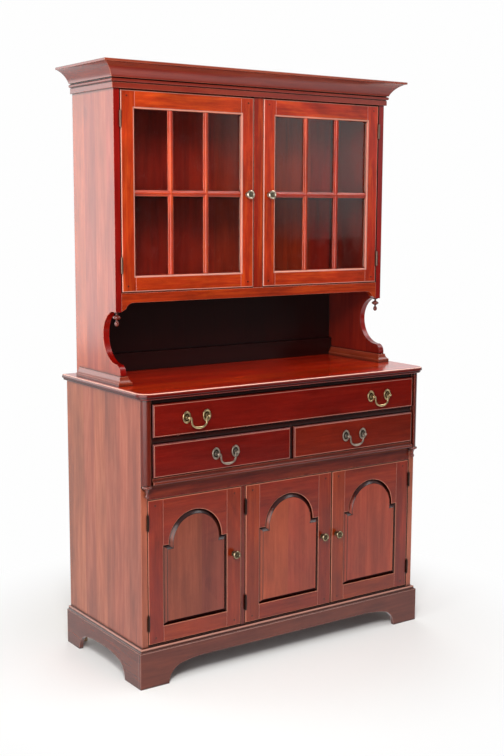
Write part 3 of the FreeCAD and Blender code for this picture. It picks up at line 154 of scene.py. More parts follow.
@dataclass(frozen=True)
class Wood:
    """Cherry boards, stained, glazed and lacquered, with the grain along each board.

    Lacquer over a filled grain gives a soft gloss. Eased edges show a paler line, partly
    rubbed-through stain and partly a painted highlight, and painted shade darkens the corners of
    the mouldings.
    End grain drinks more stain than the faces. The pores are finer than the eye can part at
    room distance, so they are drawn coarser. Lengths are in millimetres; a pair gives the
    length and the width of one streak.
    """

    name: str
    heart: str
    body: str
    sap: str
    # edge: colour of the pale edge line, partly rubbed-through stain and partly a painted
    # highlight
    edge: str = "#E89878"
    plank: float = 330.0
    log_long: float = 7300.0
    plank_tone: float = 0.08
    hue_drift: float = 0.008
    blotch: float = 0.16
    cloud: float = 90.0
    figure: Pair = (260.0, 26.0)
    ring: Pair = (130.0, 6.5)
    ring_share: float = 0.3
    pore: Pair = (18.0, 1.5)
    pore_dark: float = 0.10
    roughness: Pair = (0.22, 0.26)
    coat: float = 0.15
    edge_radius: float = 2.2
    edge_strength: float = 0.55
    # painted shade: how dark, and how far from other surfaces, ambient occlusion darkens the
    # colour
    painted_shade: float = 0.95
    painted_shade_reach: float = 9.0
    end_stain: Optional[str] = None
    end_grain: Optional[str] = None
    inside: Optional[tuple[str, float, str]] = None
    bare_rear: Optional[str] = None

    @cache
    def build(self, grain: Grain, other: Optional[Grain] = None,
              above: Optional[float] = None) -> Material:
        """Make the material for boards that lie one way, or two ways in one solid.

        Args:
            grain: how the boards lie
            other: how the rest of them lie
            above: the height in millimetres where the rest starts; without it the rest is
                what faces sideways, as on mitred boards
        Returns:
            the material, made once for each way
        """
        ways = [way for way in (grain, other) if way]
        material, add = new_material("_".join([self.name, *(w.name.lower() for w in ways)]))
        coords = add("TexCoord").outputs
        place = add("SeparateXYZ", {0: coords["Object"]}).outputs
        facing = add("SeparateXYZ", {0: coords["Normal"]}).outputs
        own = add("Attribute", {"attribute_name": "board"}).outputs["Fac"]
        aged_and_painted_light = add("Attribute", {"attribute_name": "patina"}).outputs["Fac"]
        along, across, deep = (place[axis] for axis in grain.value)
        if other:
            side, limit = (facing["X"], 0.6) if above is None else (place["Z"], above * MM)
            size = add("Math", {"operation": "ABSOLUTE", 0: side})
            rest = add("Math", {"operation": "GREATER_THAN", 0: size, 1: limit})
            along, across, deep = (add("Mix", {0: rest, 2: place[first], 3: place[second]})
                                   for first, second in zip(grain.value, other.value))
        step = add("Math", {"operation": "DIVIDE", 0: across, 1: self.plank * MM})
        number = add("Math", {"operation": "FLOOR", 0: step})
        number = add("Math", {0: number, 1: own})
        tone = add("TexWhiteNoise", {"noise_dimensions": "1D", "W": number})
        # each plank is cut from another length of the tree
        along = add("Math", {"operation": "MULTIPLY_ADD", 0: tone, 1: self.log_long * MM,
                             2: along})
        figure, rings, pores, cloud = (
            self.streaks(add, (along, across, deep), size, detail) for size, detail in (
                (self.figure, 3.0), (self.ring, 2.0), (self.pore, 1.0),
                ((self.cloud * 1.8, self.cloud * 0.7), 3.0)))
        # most of a noise lies between 0.35 and 0.65
        board_tone, uneven, fine, hue, gloss = (
            add("MapRange", dict(zip(RANGE, row))) for row in (
                (tone, 0, 1, 1 - self.plank_tone, 1 + self.plank_tone),
                (cloud, 0.35, 0.65, 1 - self.blotch, 1 + self.blotch),
                (pores, 0.38, 0.52, 1 - self.pore_dark, 1),
                (tone, 0, 1, 0.5, 0.5 + self.hue_drift),
                (rings, 0.35, 0.65, *self.roughness)))
        depth = add("Math", {"operation": "MULTIPLY", 0: board_tone, 1: uneven})
        depth = add("Math", {"operation": "MULTIPLY", 0: depth, 1: fine})
        ramp = add("ValToRGB", {0: add("Mix", {0: self.ring_share, 2: figure, 3: rings})})
        set_stops(ramp, ((0.30, self.heart), (0.50, self.body), (0.70, self.sap)))
        colour = add("HueSaturation", {"Color": ramp, "Value": depth, "Hue": hue})
        rounded = add("Bevel", {"samples": 6, "Radius": self.edge_radius * MM})
        layers = self.edge_layers(add, rounded, aged_and_painted_light)
        layers += self.stain_layers(add, grain, place, facing)
        layers += self.painted_shade_and_bare_rear_layers(add, facing, aged_and_painted_light, depth)
        for share, tint, blend in layers:
            colour = add("Mix", {"data_type": "RGBA", "blend_type": blend, 0: share,
                                 6: colour, 7: tint}).outputs[2]
        relief = add("Bump", {"Strength": 0.03, "Distance": 0.0002, "Height": fine,
                              "Normal": rounded})
        shader = add("BsdfPrincipled", {
            "IOR": 1.5, "Coat Weight": self.coat, "Coat Roughness": 0.12,
            "Base Color": colour, "Roughness": gloss, "Normal": relief,
            "Coat Normal": rounded})
        add("OutputMaterial", {0: shader})
        return material

    def edge_layers(self, add: partial, rounded: Node, aged_and_painted_light: NodeSocket) -> list[tuple]:
        """A pale edge line where the rounded normal turns away and where the per-point mark is
        below 0: partly rubbed-through stain, partly painted highlight.

        It grows as the cosine between the rounded and the flat normal falls.

        Args:
            add: adds a node to the material
            rounded: the normal over rounded edges
            aged_and_painted_light: the per-point mark, whose values below 0 paint a pale edge
        Returns:
            for each layer its share, its colour and how it blends
        """
        # the pale edge is partly wear and partly a painted highlight on rounded edges
        flat = add("NewGeometry").outputs["Normal"]
        turn = add("VectorMath", {"operation": "DOT_PRODUCT", 0: rounded, 1: flat})
        row = (turn.outputs["Value"], 0.99, 0.80, 0, self.edge_strength)
        pale_edge_mark = add("Math", {"operation": "MULTIPLY", 0: aged_and_painted_light, 1: -1})
        wear_and_painted_highlight = add("Math", {"operation": "MAXIMUM", 0: add("MapRange", dict(zip(RANGE, row))),
                            1: pale_edge_mark})
        return [(wear_and_painted_highlight, linear(self.edge), "MIX")]

    def stain_layers(self, add: partial, grain: Grain, place: Sequence[NodeSocket],
                     facing: Sequence[NodeSocket]) -> list[tuple]:
        """More stain on end grain and on a board's edges, and painted shade inside the case.

        Args:
            add: adds a node to the material
            grain: how the boards lie
            place, facing: the object's coordinates and its normal, by axis
        Returns:
            for each layer its share, its colour and how it blends
        """
        layers = []
        if self.end_grain:
            cut = add("Math", {"operation": "ABSOLUTE", 0: facing[grain.value[0]]})
            cut = add("MapRange", dict(zip(RANGE, (cut, 0.10, 0.40, 0, 1))))
            layers.append((cut, linear(self.end_grain), "MULTIPLY"))
        limits = []
        if self.end_stain:
            limits.append((facing[grain.value[2]], 0.7, self.end_stain))
        # the inside tint is painted shade
        if self.inside:
            axis, reach, tint = self.inside
            limits.append((place[axis], reach * MM, tint))
        for measure, limit, tint in limits:
            size = add("Math", {"operation": "ABSOLUTE", 0: measure})
            under = add("Math", {"operation": "LESS_THAN", 0: size, 1: limit})
            layers.append((under, linear(tint), "MULTIPLY"))
        return layers

    def painted_shade_and_bare_rear_layers(self, add: partial, facing: Sequence[NodeSocket], aged_and_painted_light: NodeSocket,
                     depth: Node) -> list[tuple]:
        """Painted shade where a surface is hemmed in or its per-point mark is above 0, and raw
        board behind.

        The painted shade grows as the open share of the surroundings falls.

        Args:
            add: adds a node to the material
            facing: the object's normal, by axis
            aged_and_painted_light: the per-point mark, whose values above 0 add painted shade
            depth: how much lighter or darker the grain makes a colour
        Returns:
            for each layer its share, its colour and how it blends
        """
        layers = []
        # ambient occlusion darkens hemmed-in places: painted shade
        if self.painted_shade:
            sky = add("AmbientOcclusion", {"samples": 4, "Distance": self.painted_shade_reach * MM})
            row = (sky.outputs["AO"], 0.93, 0.50, 0, self.painted_shade)
            share = add("MapRange", dict(zip(RANGE, row)))
            share = add("Math", {"operation": "MAXIMUM", 0: share, 1: aged_and_painted_light})
            layers.append((share, linear(PAINTED_SHADE), "MIX"))
        if self.bare_rear:
            rear = add("Math", {"operation": "GREATER_THAN", 0: facing["Y"], 1: 0.5})
            bare = add("HueSaturation", {"Color": linear(self.bare_rear), "Value": depth})
            layers.append((rear, bare, "MIX"))
        return layers

    @staticmethod
    def streaks(add: partial, axes: Sequence[NodeSocket], size: Pair, detail: float) -> Node:
        """Noise from 0 to 1, drawn out along the grain.

        Args:
            add: adds a node to the material
            axes: the board's own coordinates in metres, along, across and deep
            size: length and width of one streak in millimetres
            detail: octaves of the noise
        Returns:
            the noise
        """
        scaled = {number: add("Math", {"operation": "DIVIDE", 0: place, 1: length * MM})
                  for number, (place, length) in enumerate(zip(axes, (*size, size[1])))}
        return add("TexNoise", {"Scale": 1.0, "Detail": detail, "Roughness": 0.6,
                                "Distortion": 0.4, "Vector": add("CombineXYZ", scaled)})


@dataclass(frozen=True)
class Metal:
    """Cast or turned brass: bright where it is rubbed, dark where polish never reaches.

    Brass pieces carry a value for each point, 1 in their hollows and 0 on their crowns.
    """

    name: str
    bright: str
    dark: str
    roughness: Pair = (0.22, 0.5)
    mottle: float = 4.0

    @cache
    def build(self) -> Material:
        """Make the material: brass whose polish and colour follow its patina.

        Returns:
            the material, made once
        """
        material, add = new_material(self.name)
        coords = add("TexCoord").outputs["Object"]
        spots = add("TexNoise", {"Scale": 1 / (self.mottle * MM), "Detail": 3.0,
                                 "Vector": coords})
        patina = add("Attribute", {"attribute_name": "patina"}).outputs["Fac"]
        spread = add("MapRange", dict(zip(RANGE, (spots, 0.35, 0.7, -0.12, 0.22))))
        aged_and_painted_light = add("Math", {0: patina, 1: spread})
        ramp = add("ValToRGB", {0: aged_and_painted_light})
        set_stops(ramp, ((0.05, self.bright), (0.85, self.dark)))
        dull = add("MapRange", dict(zip(RANGE, (aged_and_painted_light, 0, 1, *self.roughness))))
        relief = add("Bump", {"Strength": 0.1, "Distance": 0.0002, "Height": spots})
        shader = add("BsdfPrincipled", {"Metallic": 1.0, "Base Color": ramp,
                                        "Roughness": dull, "Normal": relief})
        add("OutputMaterial", {0: shader})
        return material


@dataclass(frozen=True)
class WindowGlass:
    """Drawn sheet glass, clear, with a faint waviness and thin smears of handling."""

    name: str
    tint: str

    @cache
    def build(self) -> Material:
        """Make the material: glass to the eye, and clear to light on its way to a shadow.

        Returns:
            the material, made once
        """
        material, add = new_material(self.name)
        coords = add("TexCoord").outputs["Object"]
        wave = add("TexNoise", {"Scale": 6.0, "Detail": 1.0, "Vector": coords})
        smear = add("TexNoise", {"Scale": 14.0, "Detail": 4.0, "Distortion": 1.5,
                                 "Vector": coords})
        film = add("MapRange", dict(zip(RANGE, (smear, 0.45, 0.75, 0.01, 0.12))))
        relief = add("Bump", {"Strength": 0.05, "Distance": 0.002, "Height": wave})
        shader = add("BsdfPrincipled", {
            "Base Color": linear(self.tint), "IOR": 1.5, "Transmission Weight": 1.0,
            "Roughness": film, "Normal": relief})
        clear = add("BsdfTransparent", {"Color": linear(self.tint)})
        shadow = add("LightPath").outputs["Is Shadow Ray"]
        add("OutputMaterial", {0: add("MixShader", {0: shadow, 1: shader, 2: clear})})
        return material


DOOR_CHERRY = Wood("door_cherry", "#7C1006", "#9C200B", "#BE4012", blotch=0.30, cloud=110,
                   plank_tone=0.14, edge="#F0B49C")
# the panes lie against the bars, so no painted shade is reckoned from their nearness
BAR_CHERRY = replace(DOOR_CHERRY, name="bar_cherry", painted_shade=0.0)
DEEP_CHERRY = Wood("deep_cherry", "#580703", "#660B05", "#741208", blotch=0.18, cloud=140,
                   coat=0.05, painted_shade_reach=14.0, roughness=(0.16, 0.22), edge="#D89880")
POST_CHERRY = Wood("post_cherry", "#440604", "#520A06", "#600F08", coat=0.05)
# near-black: painted shade for the rails, the partition and the bottom board, which sit back in
# dark slots
PAINTED_SHADE_RAIL_CHERRY = Wood("rail_cherry", "#1C0302", "#260504", "#300806", plank=95, coat=0.05,
                   edge_strength=0.2)
FRIEZE_CHERRY = Wood("frieze_cherry", "#4C0C06", "#601609", "#70200D")
APRON_CHERRY = Wood("apron_cherry", "#6A0E05", "#8A1A08", "#A8320C")
CASE_CHERRY = Wood("case_cherry", "#681A10", "#7A2418", "#88301E", coat=0.3, blotch=0.08,
                   pore_dark=0.06)
BASE_CHERRY = Wood("base_cherry", "#4E1A12", "#5C2218", "#682A1C", blotch=0.08,
                   pore_dark=0.06, edge="#E8A894")
TURNED_CHERRY = Wood("turned_cherry", "#4E1812", "#64241C", "#723022", coat=0.8,
                     roughness=(0.14, 0.2))
# the inside tint darkens the sides' inner faces: painted shade in the niche
SIDE_CHERRY = Wood("side_cherry", "#903426", "#A0402C", "#B04E38", plank=78, blotch=0.20,
                   cloud=240, plank_tone=0.12, pore_dark=0.05, end_stain="#C83A2A",
                   inside=("X", 541.0, "#B06458"))
LOWER_SIDE_CHERRY = Wood("lower_side_cherry", "#7C3A2A", "#944832", "#A85A42", plank=78,
                         blotch=0.20, cloud=260, plank_tone=0.12, pore_dark=0.06)
PANEL_CHERRY = Wood("panel_cherry", "#782616", "#8E321F", "#A2422A", plank=118,
                    blotch=0.20, cloud=200, figure=(420.0, 34.0), painted_shade_reach=14.0,
                    end_grain="#5A1C14", edge_strength=0.25)
# the left door's panel is darker than its neighbours'
DARK_PANEL_CHERRY = replace(PANEL_CHERRY, name="dark_panel_cherry", heart="#602014",
                            body="#702A1C", sap="#823626")
LOWER_CHERRY = Wood("lower_cherry", "#641206", "#781B09", "#8E2A10", blotch=0.22,
                    cloud=120, plank_tone=0.10, hue_drift=0.010)
# the pale edge colour here makes the painted highlight on the nosing's arris
TOP_CHERRY = Wood("top_cherry", "#860804", "#B40E06", "#D02E12", plank=105, plank_tone=0.12,
                  blotch=0.22, cloud=200, roughness=(0.13, 0.19), coat=0.1,
                  end_stain="#7A4A40", edge="#FFC8B4", edge_strength=0.5)
# the inside tint darkens the back boards below the niche's top: painted shade in the niche
BACK_CHERRY = Wood("back_cherry", "#7E1208", "#A01C0E", "#B02814", plank=110,
                   blotch=0.10, cloud=200, plank_tone=0.12, coat=0.0,
                   roughness=(0.35, 0.45), inside=("Z", 1248.0, "#301412"),
                   bare_rear="#A8855E")
PEG_CHERRY = Wood("peg_cherry", "#3A1208", "#4A1A0C", "#5A2410", plank=95, edge_strength=0.0)
INNER_WOOD = Wood("inner_wood", "#94724E", "#A98560", "#BA9870", "#C8AC88", coat=0.0,
                  blotch=0.05, cloud=300, plank=110, plank_tone=0.10,
                  roughness=(0.5, 0.65), edge_strength=0.3, painted_shade=0.3)
BRIGHT_BRASS = Metal("bright_brass", "#E2C898", "#4C3A22")
GREY_BRASS = Metal("grey_brass", "#BEAE9E", "#403A34", roughness=(0.3, 0.55))
KNOB_BRASS = Metal("polished_knob_brass", "#EADFC8", "#94846A")
OLIVE_BRASS = Metal("lacquered_knob_brass", "#A89678", "#38291A", roughness=(0.2, 0.4))
HINGE_BRASS = Metal("aged_hinge_brass", "#867062", "#42322A", roughness=(0.35, 0.55))
DARK_HINGE = Metal("dark_hinge", "#3A2C26", "#181210", roughness=(0.4, 0.6))
SHEET_GLASS = WindowGlass("sheet_glass", "#E4E6E2")


# ---- surfaces -------------------------------------------------------------------------

@dataclass
class Surface:
    """Corner points in metres, the faces between them and a value for each point: on brass how
    far polish never reaches, on wood painted shade above 0 and a pale edge below 0.
    """

    points: np.ndarray
    faces: list[tuple[int, ...]]
    patina: Optional[np.ndarray] = None


def merged(parts: Sequence[Surface]) -> Surface:
    """Put several surfaces into one.

    Args:
        parts: the surfaces
    Returns:
        all of them as one, with the per-point values if each part has it
    """
    faces, start = [], 0
    for part in parts:
        faces += [tuple(corner + start for corner in face) for face in part.faces]
        start += len(part.points)
    aged_and_painted_light = None
    if all(part.patina is not None for part in parts):
        aged_and_painted_light = np.concatenate([part.patina for part in parts])
    return Surface(np.vstack([part.points for part in parts]), faces, aged_and_painted_light)


def lattice(points: np.ndarray, wrap_rows: bool = False, caps: bool = True,
            patina: Optional[np.ndarray] = None) -> Surface:
    """Quads between neighbouring points of a grid whose last column joins the first.

    Args:
        points: rows x columns x 3, in millimetres
        wrap_rows: whether the last row joins the first
        caps: whether the first and the last row are closed with a face
        patina: a value for each row or for each point
    Returns:
        the surface
    """
    rows, columns = points.shape[:2]
    number = np.arange(rows * columns).reshape(rows, columns)
    if wrap_rows:
        number = np.vstack([number, number[:1]])
    number = np.hstack([number, number[:, :1]])
    quads = np.stack([number[:-1, :-1], number[:-1, 1:], number[1:, 1:], number[1:, :-1]],
                     axis=-1).reshape(-1, 4)
    faces = [tuple(quad) for quad in quads.tolist()]
    if caps:
        faces += [tuple(range(columns)), tuple(range((rows - 1) * columns, rows * columns))]
    if patina is not None:
        patina = np.broadcast_to(patina.reshape(rows, -1), (rows, columns)).reshape(-1)
    return Surface(points.reshape(-1, 3) * MM, faces, patina)


def arc(centre: Sequence[float], radius: float, start: float, end: float,
        steps: int = 8) -> np.ndarray:
    """Points on a circle's arc: centre plus radius times (cos a, sin a), a in degrees."""
    turn = np.radians(np.linspace(start, end, steps + 1))
    return np.asarray(centre) + radius * np.column_stack([np.cos(turn), np.sin(turn)])


def eased(points: Sequence[Pair], steps: int = 4) -> np.ndarray:
    """A smooth line through points.

    Between two points the line is the cubic whose slope at each is half the step from the
    point before to the point after.

    Args:
        points: the points that the line passes
        steps: pieces between two points
    Returns:
        the line's points
    """
    given = np.asarray(points, float)
    padded = np.vstack([2 * given[0] - given[1], given, 2 * given[-1] - given[-2]])
    before, start, end, after = (part[:, None, :] for part in (
        padded[:-3], padded[1:-2], padded[2:-1], padded[3:]))
    share = (np.arange(steps) / steps)[None, :, None]
    line = 0.5 * (2 * start + (end - before) * share
                  + (2 * before - 5 * start + 4 * end - after) * share ** 2
                  + (3 * start - before - 3 * end + after) * share ** 3)
    return np.vstack([line.reshape(-1, given.shape[1]), given[-1:]])


class Way(Enum):
    """Which way a turned piece points from its foot."""

    FORWARD = "forward"
    DOWN = "down"


def turned(profile: np.ndarray, foot: Sequence[float], way: Way, steps: int = 40,
           shape: Pair = (1.0, 1.0), patina: Optional[np.ndarray] = None) -> Surface:
    """A profile turned about an axis.

    A point at distance s along the axis and radius r goes round as r (a cos t, b sin t),
    where shape is (a, b).

    Args:
        profile: rows of (distance, radius) in millimetres
        foot: where the axis starts, in millimetres
        way: which way the axis runs
        steps: points in one turn
        shape: stretch of the turn in its two directions
        patina: a value for each row of the profile
    Returns:
        the surface, closed at both ends
    """
    angle = np.linspace(0, 2 * np.pi, steps, endpoint=False)
    radius = np.maximum(profile[:, 1:], 0)
    first = radius * np.cos(angle) * shape[0]
    second = radius * np.sin(angle) * shape[1]
    back = np.broadcast_to(-profile[:, :1], first.shape)
    offsets = (first, back, second) if way is Way.FORWARD else (first, second, back)
    return lattice(np.asarray(foot) + np.stack(offsets, axis=-1), patina=patina)


def upright(outline: np.ndarray, depth: float) -> np.ndarray:
    """The points (x, z) of an outline, stood upright at a depth."""
    return np.insert(outline, 1, depth, axis=1)


def prism(outline: np.ndarray, axis: int, ends: Sequence[float]) -> Surface:
    """A closed outline carried straight from one end to the other.

    Args:
        outline: points in the two other axes, in their order, in millimetres
        axis: 0 to 2 for the axis that it runs along
        ends: where it starts and where it ends on that axis
    Returns:
        the surface, closed at both ends
    """
    return lattice(np.stack([np.insert(outline, axis, end, axis=1) for end in ends]))


def finish_piece(name: str, surface: Surface, material: Material, body: str = "cupboard",
                 nodes: Sequence[str] = (),
                 crease: float = 32.0) -> None:
    """Make a surface an object that rides on a body and stands for its solids.

    Args:
        name: the piece's name
        surface: its points and faces
        material: its finish
        body: the moving body it belongs to
        nodes: the solids it stands for
        crease: faces that meet at a larger angle than this, in degrees, keep a sharp edge
    """
    mesh = bpy.data.meshes.new(name)
    mesh.from_pydata(surface.points.tolist(), [], surface.faces)
    marks = {"board": np.full(len(surface.points), float(crc32(name.encode()) % 997))}
    # the per-point mark: hollows of brass, and on wood painted shade and a pale edge
    if surface.patina is not None:
        marks["patina"] = surface.patina
    for mark, values in marks.items():
        layer = mesh.attributes.new(mark, "FLOAT", "POINT")
        layer.data.foreach_set("value", values.astype(np.float32))
    shell = bmesh.new()
    shell.from_mesh(mesh)
    bmesh.ops.remove_doubles(shell, verts=shell.verts, dist=0.00001)
    bmesh.ops.recalc_face_normals(shell, faces=shell.faces)
    shell.to_mesh(mesh)
    shell.free()
    mesh.polygons.foreach_set("use_smooth", [True] * len(mesh.polygons))
    mesh.set_sharp_from_angle(angle=math.radians(crease))
    mesh.materials.append(material)
    piece = bpy.data.objects.new(name, mesh)
    bpy.context.scene.collection.objects.link(piece)
    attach(piece, body)
    if nodes:
        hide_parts(*nodes)
    LOG.info("%s: %d points on %s", name, len(mesh.vertices), body)


def finish_node(node: str, material: Material) -> None:
    """Give a solid of the frame its finish.

    Args:
        node: the solid's name
        material: its finish
    """
    solid = frame["nodes"][node]
    solid.data.materials.clear()
    solid.data.materials.append(material)
    LOG.info("%s: finished as %s", node, material.name)


def box_mm(node: str) -> tuple[np.ndarray, np.ndarray]:
    """A node's lowest and highest corner in millimetres."""
    low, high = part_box(node)
    return np.array(low) / MM, np.array(high) / MM


@dataclass
class Opening:
    """A rectangle, or the outline of a door's opening with a round head.

    The outline set in by q has sides q further in, a sill q higher, and a head of radius
    R - q about the same centre, which meets the level shoulder at sqrt((R - q)^2 - q^2)
    from the middle.
    """

    centre: float
    half: float
    sill: float
    level: float
    radius: float = 0.0
    steps: int = 40

    @classmethod
    def around(cls, low: Sequence[float], high: Sequence[float]) -> "Opening":
        """The front view of a box, as a plain rectangle."""
        return cls((low[0] + high[0]) / 2, (high[0] - low[0]) / 2, low[2], high[2])

    def ring(self, inset: float) -> np.ndarray:
        """The outline set in by a distance.

        Args:
            inset: the distance in millimetres
        Returns:
            its points (x, z) in millimetres
        """
        left, right = self.centre - self.half + inset, self.centre + self.half - inset
        low, high = self.sill + inset, self.level - inset
        start = [(left, low), (right, low), (right, high)]
        if not self.radius:
            return np.array([*start, (left, high)])
        radius = self.radius - inset
        spring = math.degrees(math.asin(-inset / radius))
        head = arc((self.centre, self.level), radius, spring, 180 - spring, self.steps)
        return np.vstack([start, head, [(left, high)]])

    def border(self, left: float, right: float, bottom: float, top: float) -> np.ndarray:
        """The point of a rectangle that faces each point of the outline.

        Args:
            left, right, bottom, top: the rectangle's sides in millimetres
        Returns:
            points (x, z), as many as the outline has
        """
        corners = [(left, bottom), (right, bottom), (right, top)]
        if not self.radius:
            return np.array([*corners, (left, top)])
        head = arc((self.centre, self.level), self.radius, 0, 180, self.steps)
        head[:, 1] = top
        return np.vstack([corners, head, [(left, top)]])

    def carried(self, stations: Sequence[Pair], face: float) -> np.ndarray:
        """Rings of the outline, one for each (inset, depth behind the face)."""
        return np.stack([upright(self.ring(inset), face + depth)
                         for inset, depth in stations])


def board(low: Sequence[float], high: Sequence[float], ease: float = 1.2) -> Surface:
    """A squared board whose front edges are eased by a quarter round.

    Args:
        low, high: its corners in millimetres
        ease: radius of the eased edges
    Returns:
        the closed surface
    """
    stations = [(0.0, high[1] - low[1]), *(ease + arc((0, 0), ease, 180, 270, 4))]
    return lattice(Opening.around(low, high).carried(stations, low[1]))


# ---- doors ----------------------------------------------------------------------------

def split(surface: Surface, left: float, right: float) -> dict[str, Surface]:
    """Part a closed frame at two upright planes into its stiles and rails.

    Args:
        surface: the whole frame
        left, right: where the planes stand, in millimetres
    Returns:
        the members by name, each closed
    """
    sides = {"stile_left": [(left, 1)], "stile_right": [(right, -1)],
             "rails": [(left, -1), (right, 1)]}
    members = {}
    for name, cuts in sides.items():
        mesh = bpy.data.meshes.new(name)
        mesh.from_pydata(surface.points.tolist(), [], surface.faces)
        shell = bmesh.new()
        shell.from_mesh(mesh)
        for place, way in cuts:
            everything = shell.verts[:] + shell.edges[:] + shell.faces[:]
            bmesh.ops.bisect_plane(shell, geom=everything, dist=1e-7,
                                   plane_co=(place * MM, 0, 0), plane_no=(way, 0, 0),
                                   clear_outer=True)
            open_edges = [edge for edge in shell.edges if edge.is_boundary]
            bmesh.ops.holes_fill(shell, edges=open_edges)
        shell.verts.index_update()
        points = np.array([vertex.co for vertex in shell.verts])
        faces = [tuple(vertex.index for vertex in face.verts) for face in shell.faces]
        members[name] = Surface(points, faces)
        shell.free()
        bpy.data.meshes.remove(mesh)
    return members


@dataclass
class FramedDoor:
    """A door of two stiles and two rails round an opening, moulded on its inner edge."""

    name: str
    wood: Wood
    stile: float
    bottom_rail: float
    top_rail: float
    moulding: float
    rabbet_lap: float
    rabbet_plane: float
    ease: float = 3.5
    arch: float = 0.0
    quirk: float = 0.18
    peg: float = 3.1
    peg_inset: float = 20.0
    margin: float = 0.8
    seam: float = 0.05

    def __post_init__(self) -> None:
        """Read the door's place from its solid."""
        low, high = box_mm(f"{self.name}_frame")
        self.left, self.face, self.bottom = low
        self.right, self.rear, self.top = high
        centre = (self.left + self.right) / 2
        half = (self.right - self.left) / 2 - self.stile
        level = self.top - self.top_rail - self.arch
        self.opening = Opening(centre, half, self.bottom + self.bottom_rail, level, self.arch)

    def section(self) -> list[Pair]:
        """The moulded inner edge.

        A small quirk, then a quarter round that falls from the face to the moulding's
        foot, then the rabbet behind it.

        Returns:
            pairs of an inset from the opening and a depth from the face
        """
        quirk = self.moulding * self.quirk
        curve = arc((quirk, self.moulding), self.moulding - quirk, -90, 0)
        return [(-self.margin, 0), (0, 0), (quirk * 0.4, quirk), *curve,
                (self.moulding, self.rabbet_plane), (self.rabbet_lap, self.rabbet_plane),
                (self.rabbet_lap, self.rear - self.face)]

    def blank(self) -> Surface:
        """The whole frame as one closed surface: the section carried round the opening.

        A quarter round eases the outer edge, and a level ring inside it keeps the face
        flat.

        Returns:
            the frame before it is parted at its joints
        """
        outer = [(0.0, self.rear - self.face),
                 *(self.ease + arc((0, 0), self.ease, 180, 270, 6)),
                 (self.ease + self.margin, 0.0)]
        rows = [upright(self.opening.border(self.left + inset, self.right - inset,
                                            self.bottom + inset, self.top - inset),
                        self.face + depth) for inset, depth in outer]
        rows = np.concatenate([rows, self.opening.carried(self.section(), self.face)])
        return lattice(rows, wrap_rows=True, caps=False)

    def build(self) -> None:
        """Make the stiles and rails, part them at their joints and peg them."""
        nodes = (f"{self.name}_frame",)
        reach = self.opening.half - self.moulding + self.seam
        seams = (self.opening.centre - reach, self.opening.centre + reach)
        for member, surface in split(self.blank(), *seams).items():
            grain = Grain.ACROSS if member == "rails" else Grain.UPRIGHT
            surface.patina = self.age(surface.points / MM)
            finish_piece(f"{self.name}_{member}", surface, self.wood.build(grain), self.name,
                         nodes=nodes, crease=28)
        finish_piece(f"{self.name}_pegs", self.pegs(), PEG_CHERRY.build(Grain.DEEP), self.name,
                     nodes=nodes)

    def age(self, points: np.ndarray) -> np.ndarray:
        """Per-point mark of the frame: a pale line on its rounded edges, partly rubbed-through
        stain and partly painted highlight, and painted shade under the moulding.

        On the outer edge it follows the distance in from the outline less the depth; on
        the inner edge it follows the depth alone.

        Args:
            points: rows of (x, y, z) in millimetres
        Returns:
            the mark of each
        """
        x, y, z = points.T
        inset = np.minimum.reduce([x - self.left, self.right - x, z - self.bottom,
                                   self.top - z])
        depth = y - self.face
        edge = self.ease
        outside = (inset < edge + self.margin + 0.01) & (depth < edge + 0.01)
        outer = np.interp((inset - depth) / edge, [-0.5, 0.1, 0.9, 1.0], [0, -0.5, -0.5, 0])
        inner = np.interp(depth / self.moulding, [0, self.quirk, 0.5, 0.8, 1.0, 1.2],
                          [0, -0.5, -0.3, 0, 0.3, 0])
        return np.where(outside, outer, inner)

    def pegs(self) -> Surface:
        """The joints' pegs: round, a little proud, with a domed end.

        Returns:
            four pegs, one at each corner of the door
        """
        dome = np.array([(-1.5, 1.0), (0.1, 1.0), (0.25, 0.8), (0.32, 0.4), (0.34, 0.0)])
        return merged([turned(dome * (1, self.peg), (x, self.face, z), Way.FORWARD, 16)
                       for x in (self.left + self.stile / 2, self.right - self.stile / 2)
                       for z in (self.bottom + self.peg_inset, self.top - self.peg_inset)])


@dataclass
class RaisedPanel:
    """A panel whose field stands up from a hollow bevel, inside a door's opening.

    Each pair is an inset from the door's opening and a depth behind the door's face; the
    tongue has the inset of its edge, the depth of its shoulder and of its rear.
    """

    door: FramedDoor
    wood: Wood
    tongue: Triple = (-3.6, 8.8, 16.0)
    foot: Pair = (2.9, 7.4)
    crest: Pair = (15.8, -2.4)
    field: Pair = (16.5, -3.8)
    hollow: float = 0.6
    margin: float = 0.8

    def build(self) -> None:
        """Carry the bevel round the opening and close the field with one face.

        Along the bevel, t from 0 at the foot to 1 at the crest, the depth is the straight
        line between them plus hollow sin(pi t).
        """
        door, foot, crest = self.door, self.foot[0], self.crest[0]
        edge, shoulder, rear = self.tongue
        share = np.linspace(0, 1, 9)[:, None]
        bevel = np.array(self.foot) * (1 - share) + np.array(self.crest) * share
        bevel[:, 1:] += self.hollow * np.sin(np.pi * share)
        level = (self.field[0] + self.margin, self.field[1])
        stations = [(edge, rear), (edge, shoulder), (foot - 0.4, shoulder), *bevel,
                    self.field, level]
        # painted shade in the groove and against the fillet round the field
        age = np.interp([place for place, _ in stations],
                        [foot - 0.5, foot, foot + 2, crest - 2.4, crest, self.field[0],
                         level[0]], [0.0, 0.8, 0.0, 0.0, 0.9, 0.6, 0.0])
        surface = lattice(door.opening.carried(stations, door.face), patina=age)
        finish_piece(f"{door.name}_raised_panel", surface, self.wood.build(Grain.UPRIGHT),
                     door.name, nodes=(f"{door.name}_panel",), crease=30)


